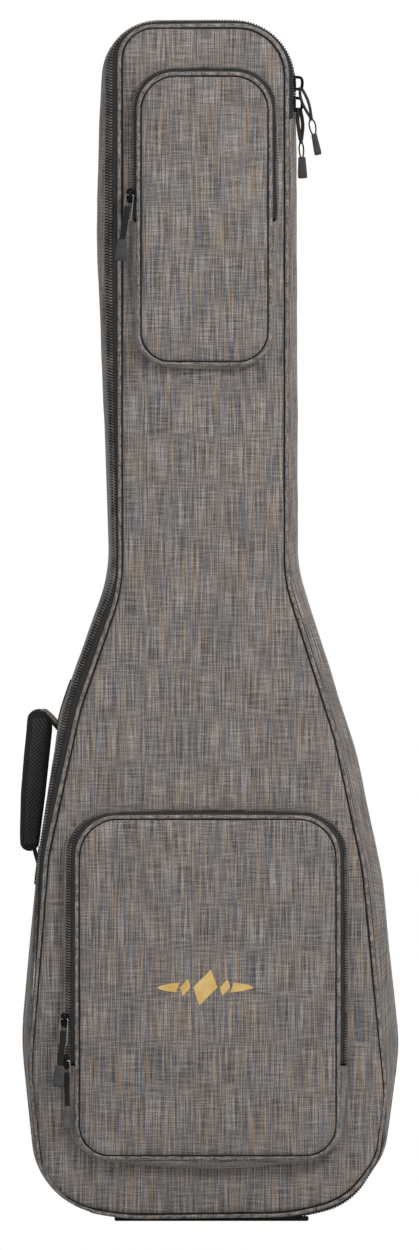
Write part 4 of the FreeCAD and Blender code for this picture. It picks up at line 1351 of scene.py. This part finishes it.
addLoft(mesh, [(-5 * mm, 4.5 * mm, a * mm) for a in z], (1, 0, 0), (0, 1, 0), 79 * swell * mm, 28 * swell * mm, 6, 56)
endPad = finishPiece("endPad", mesh, [lining], body="case", replaces=("end_pad",), slot="lining")

# Base bumper with moulded cross ribs
mesh = newMesh()
addSlab(mesh, [(-100.5, -33), (99.5, -33), (99.5, 42), (-100.5, 42)], 0, 5.2, 1.6)
for x in np.arange(-92, 93, 8.0):
    addSlab(mesh, roundedBox(1.4, 34, 1.2, 3, (x, 4.5)), 4.6, 5.6, 0.4)
mesh["verts"] = [tuple(c * mm for c in v) for v in mesh["verts"]]
finishPiece("baseBumper", mesh, [bumperRubber], body="case", replaces=("base_bumper",), slot="bumper_rubber", sharp=35)
print("straps, loop, inside and bumper made")

# Stage and camera
studio = {"scale": 1.03, "width": 419, "height": 1250, "left": 212.0, "floor": 1221.0}
camera = bpy.data.cameras.new("camera")
camera.type = "ORTHO"
camera.ortho_scale = studio["height"] * studio["scale"] * mm
cameraObject = bpy.data.objects.new("camera", camera)
cameraObject.location = ((studio["width"] / 2 - studio["left"]) * studio["scale"] * mm, -4.0,
                         (studio["floor"] - studio["height"] / 2) * studio["scale"] * mm)
cameraObject.rotation_euler = (math.pi / 2, 0, 0)
bpy.context.scene.collection.objects.link(cameraObject)
bpy.context.scene.camera = cameraObject

lights = {
    "key": {"at": (1.7, -2.5, 2.8), "size": 0.9, "power": 66},
    "fill": {"at": (-1.9, -2.6, 2.2), "size": 2.0, "power": 15},
    "back": {"at": (0.6, 3.4, 1.9), "size": 2.0, "power": 35},
}
for name, light in lights.items():
    data = bpy.data.lights.new(name, "AREA")
    data.shape = "DISK"
    data.size = light["size"]
    data.energy = light["power"]
    lamp = bpy.data.objects.new(name, data)
    lamp.location = light["at"]
    lamp.rotation_euler = (Vector((0, 0, 0.6)) - Vector(light["at"])).to_track_quat("-Z", "Y").to_euler()
    bpy.context.scene.collection.objects.link(lamp)
world = bpy.data.worlds.new("studioWhite")
world.use_nodes = True
worldTree = world.node_tree
seen = addNode(worldTree, "ShaderNodeLightPath").outputs["Is Camera Ray"]
strength = addNode(worldTree, "ShaderNodeMapRange", {"Value": seen, "To Min": 0.44, "To Max": 1.0})
worldTree.nodes["Background"].inputs["Color"].default_value = (1, 1, 1, 1)
worldTree.links.new(strength.outputs["Result"], worldTree.nodes["Background"].inputs["Strength"])
bpy.context.scene.world = world

floorPaint, floorTree, floorShader = newMaterial("mattWhitePaint", 0.9)
floorGrain = threadNoise(floorTree, addNode(floorTree, "ShaderNodeTexCoord").outputs["Object"], 400, 400)
floorColour = rampOf(floorTree, floorGrain, ((0.2, "#d9d9d9"), (0.8, "#e0e0e0")))
floorTree.links.new(floorColour, floorShader.inputs["Base Color"])
floorMesh = newMesh()
addGrid(floorMesh, [[(x, y, -0.0005) for x in np.linspace(-3, 3, 5)] for y in np.linspace(-3, 3, 5)])
data = bpy.data.meshes.new("floor")
data.from_pydata(floorMesh["verts"], [], floorMesh["faces"])
data.materials.append(floorPaint)
floor = bpy.data.objects.new("floor", data)
bpy.context.scene.collection.objects.link(floor)
bpy.context.scene.view_settings.view_transform = "Standard"
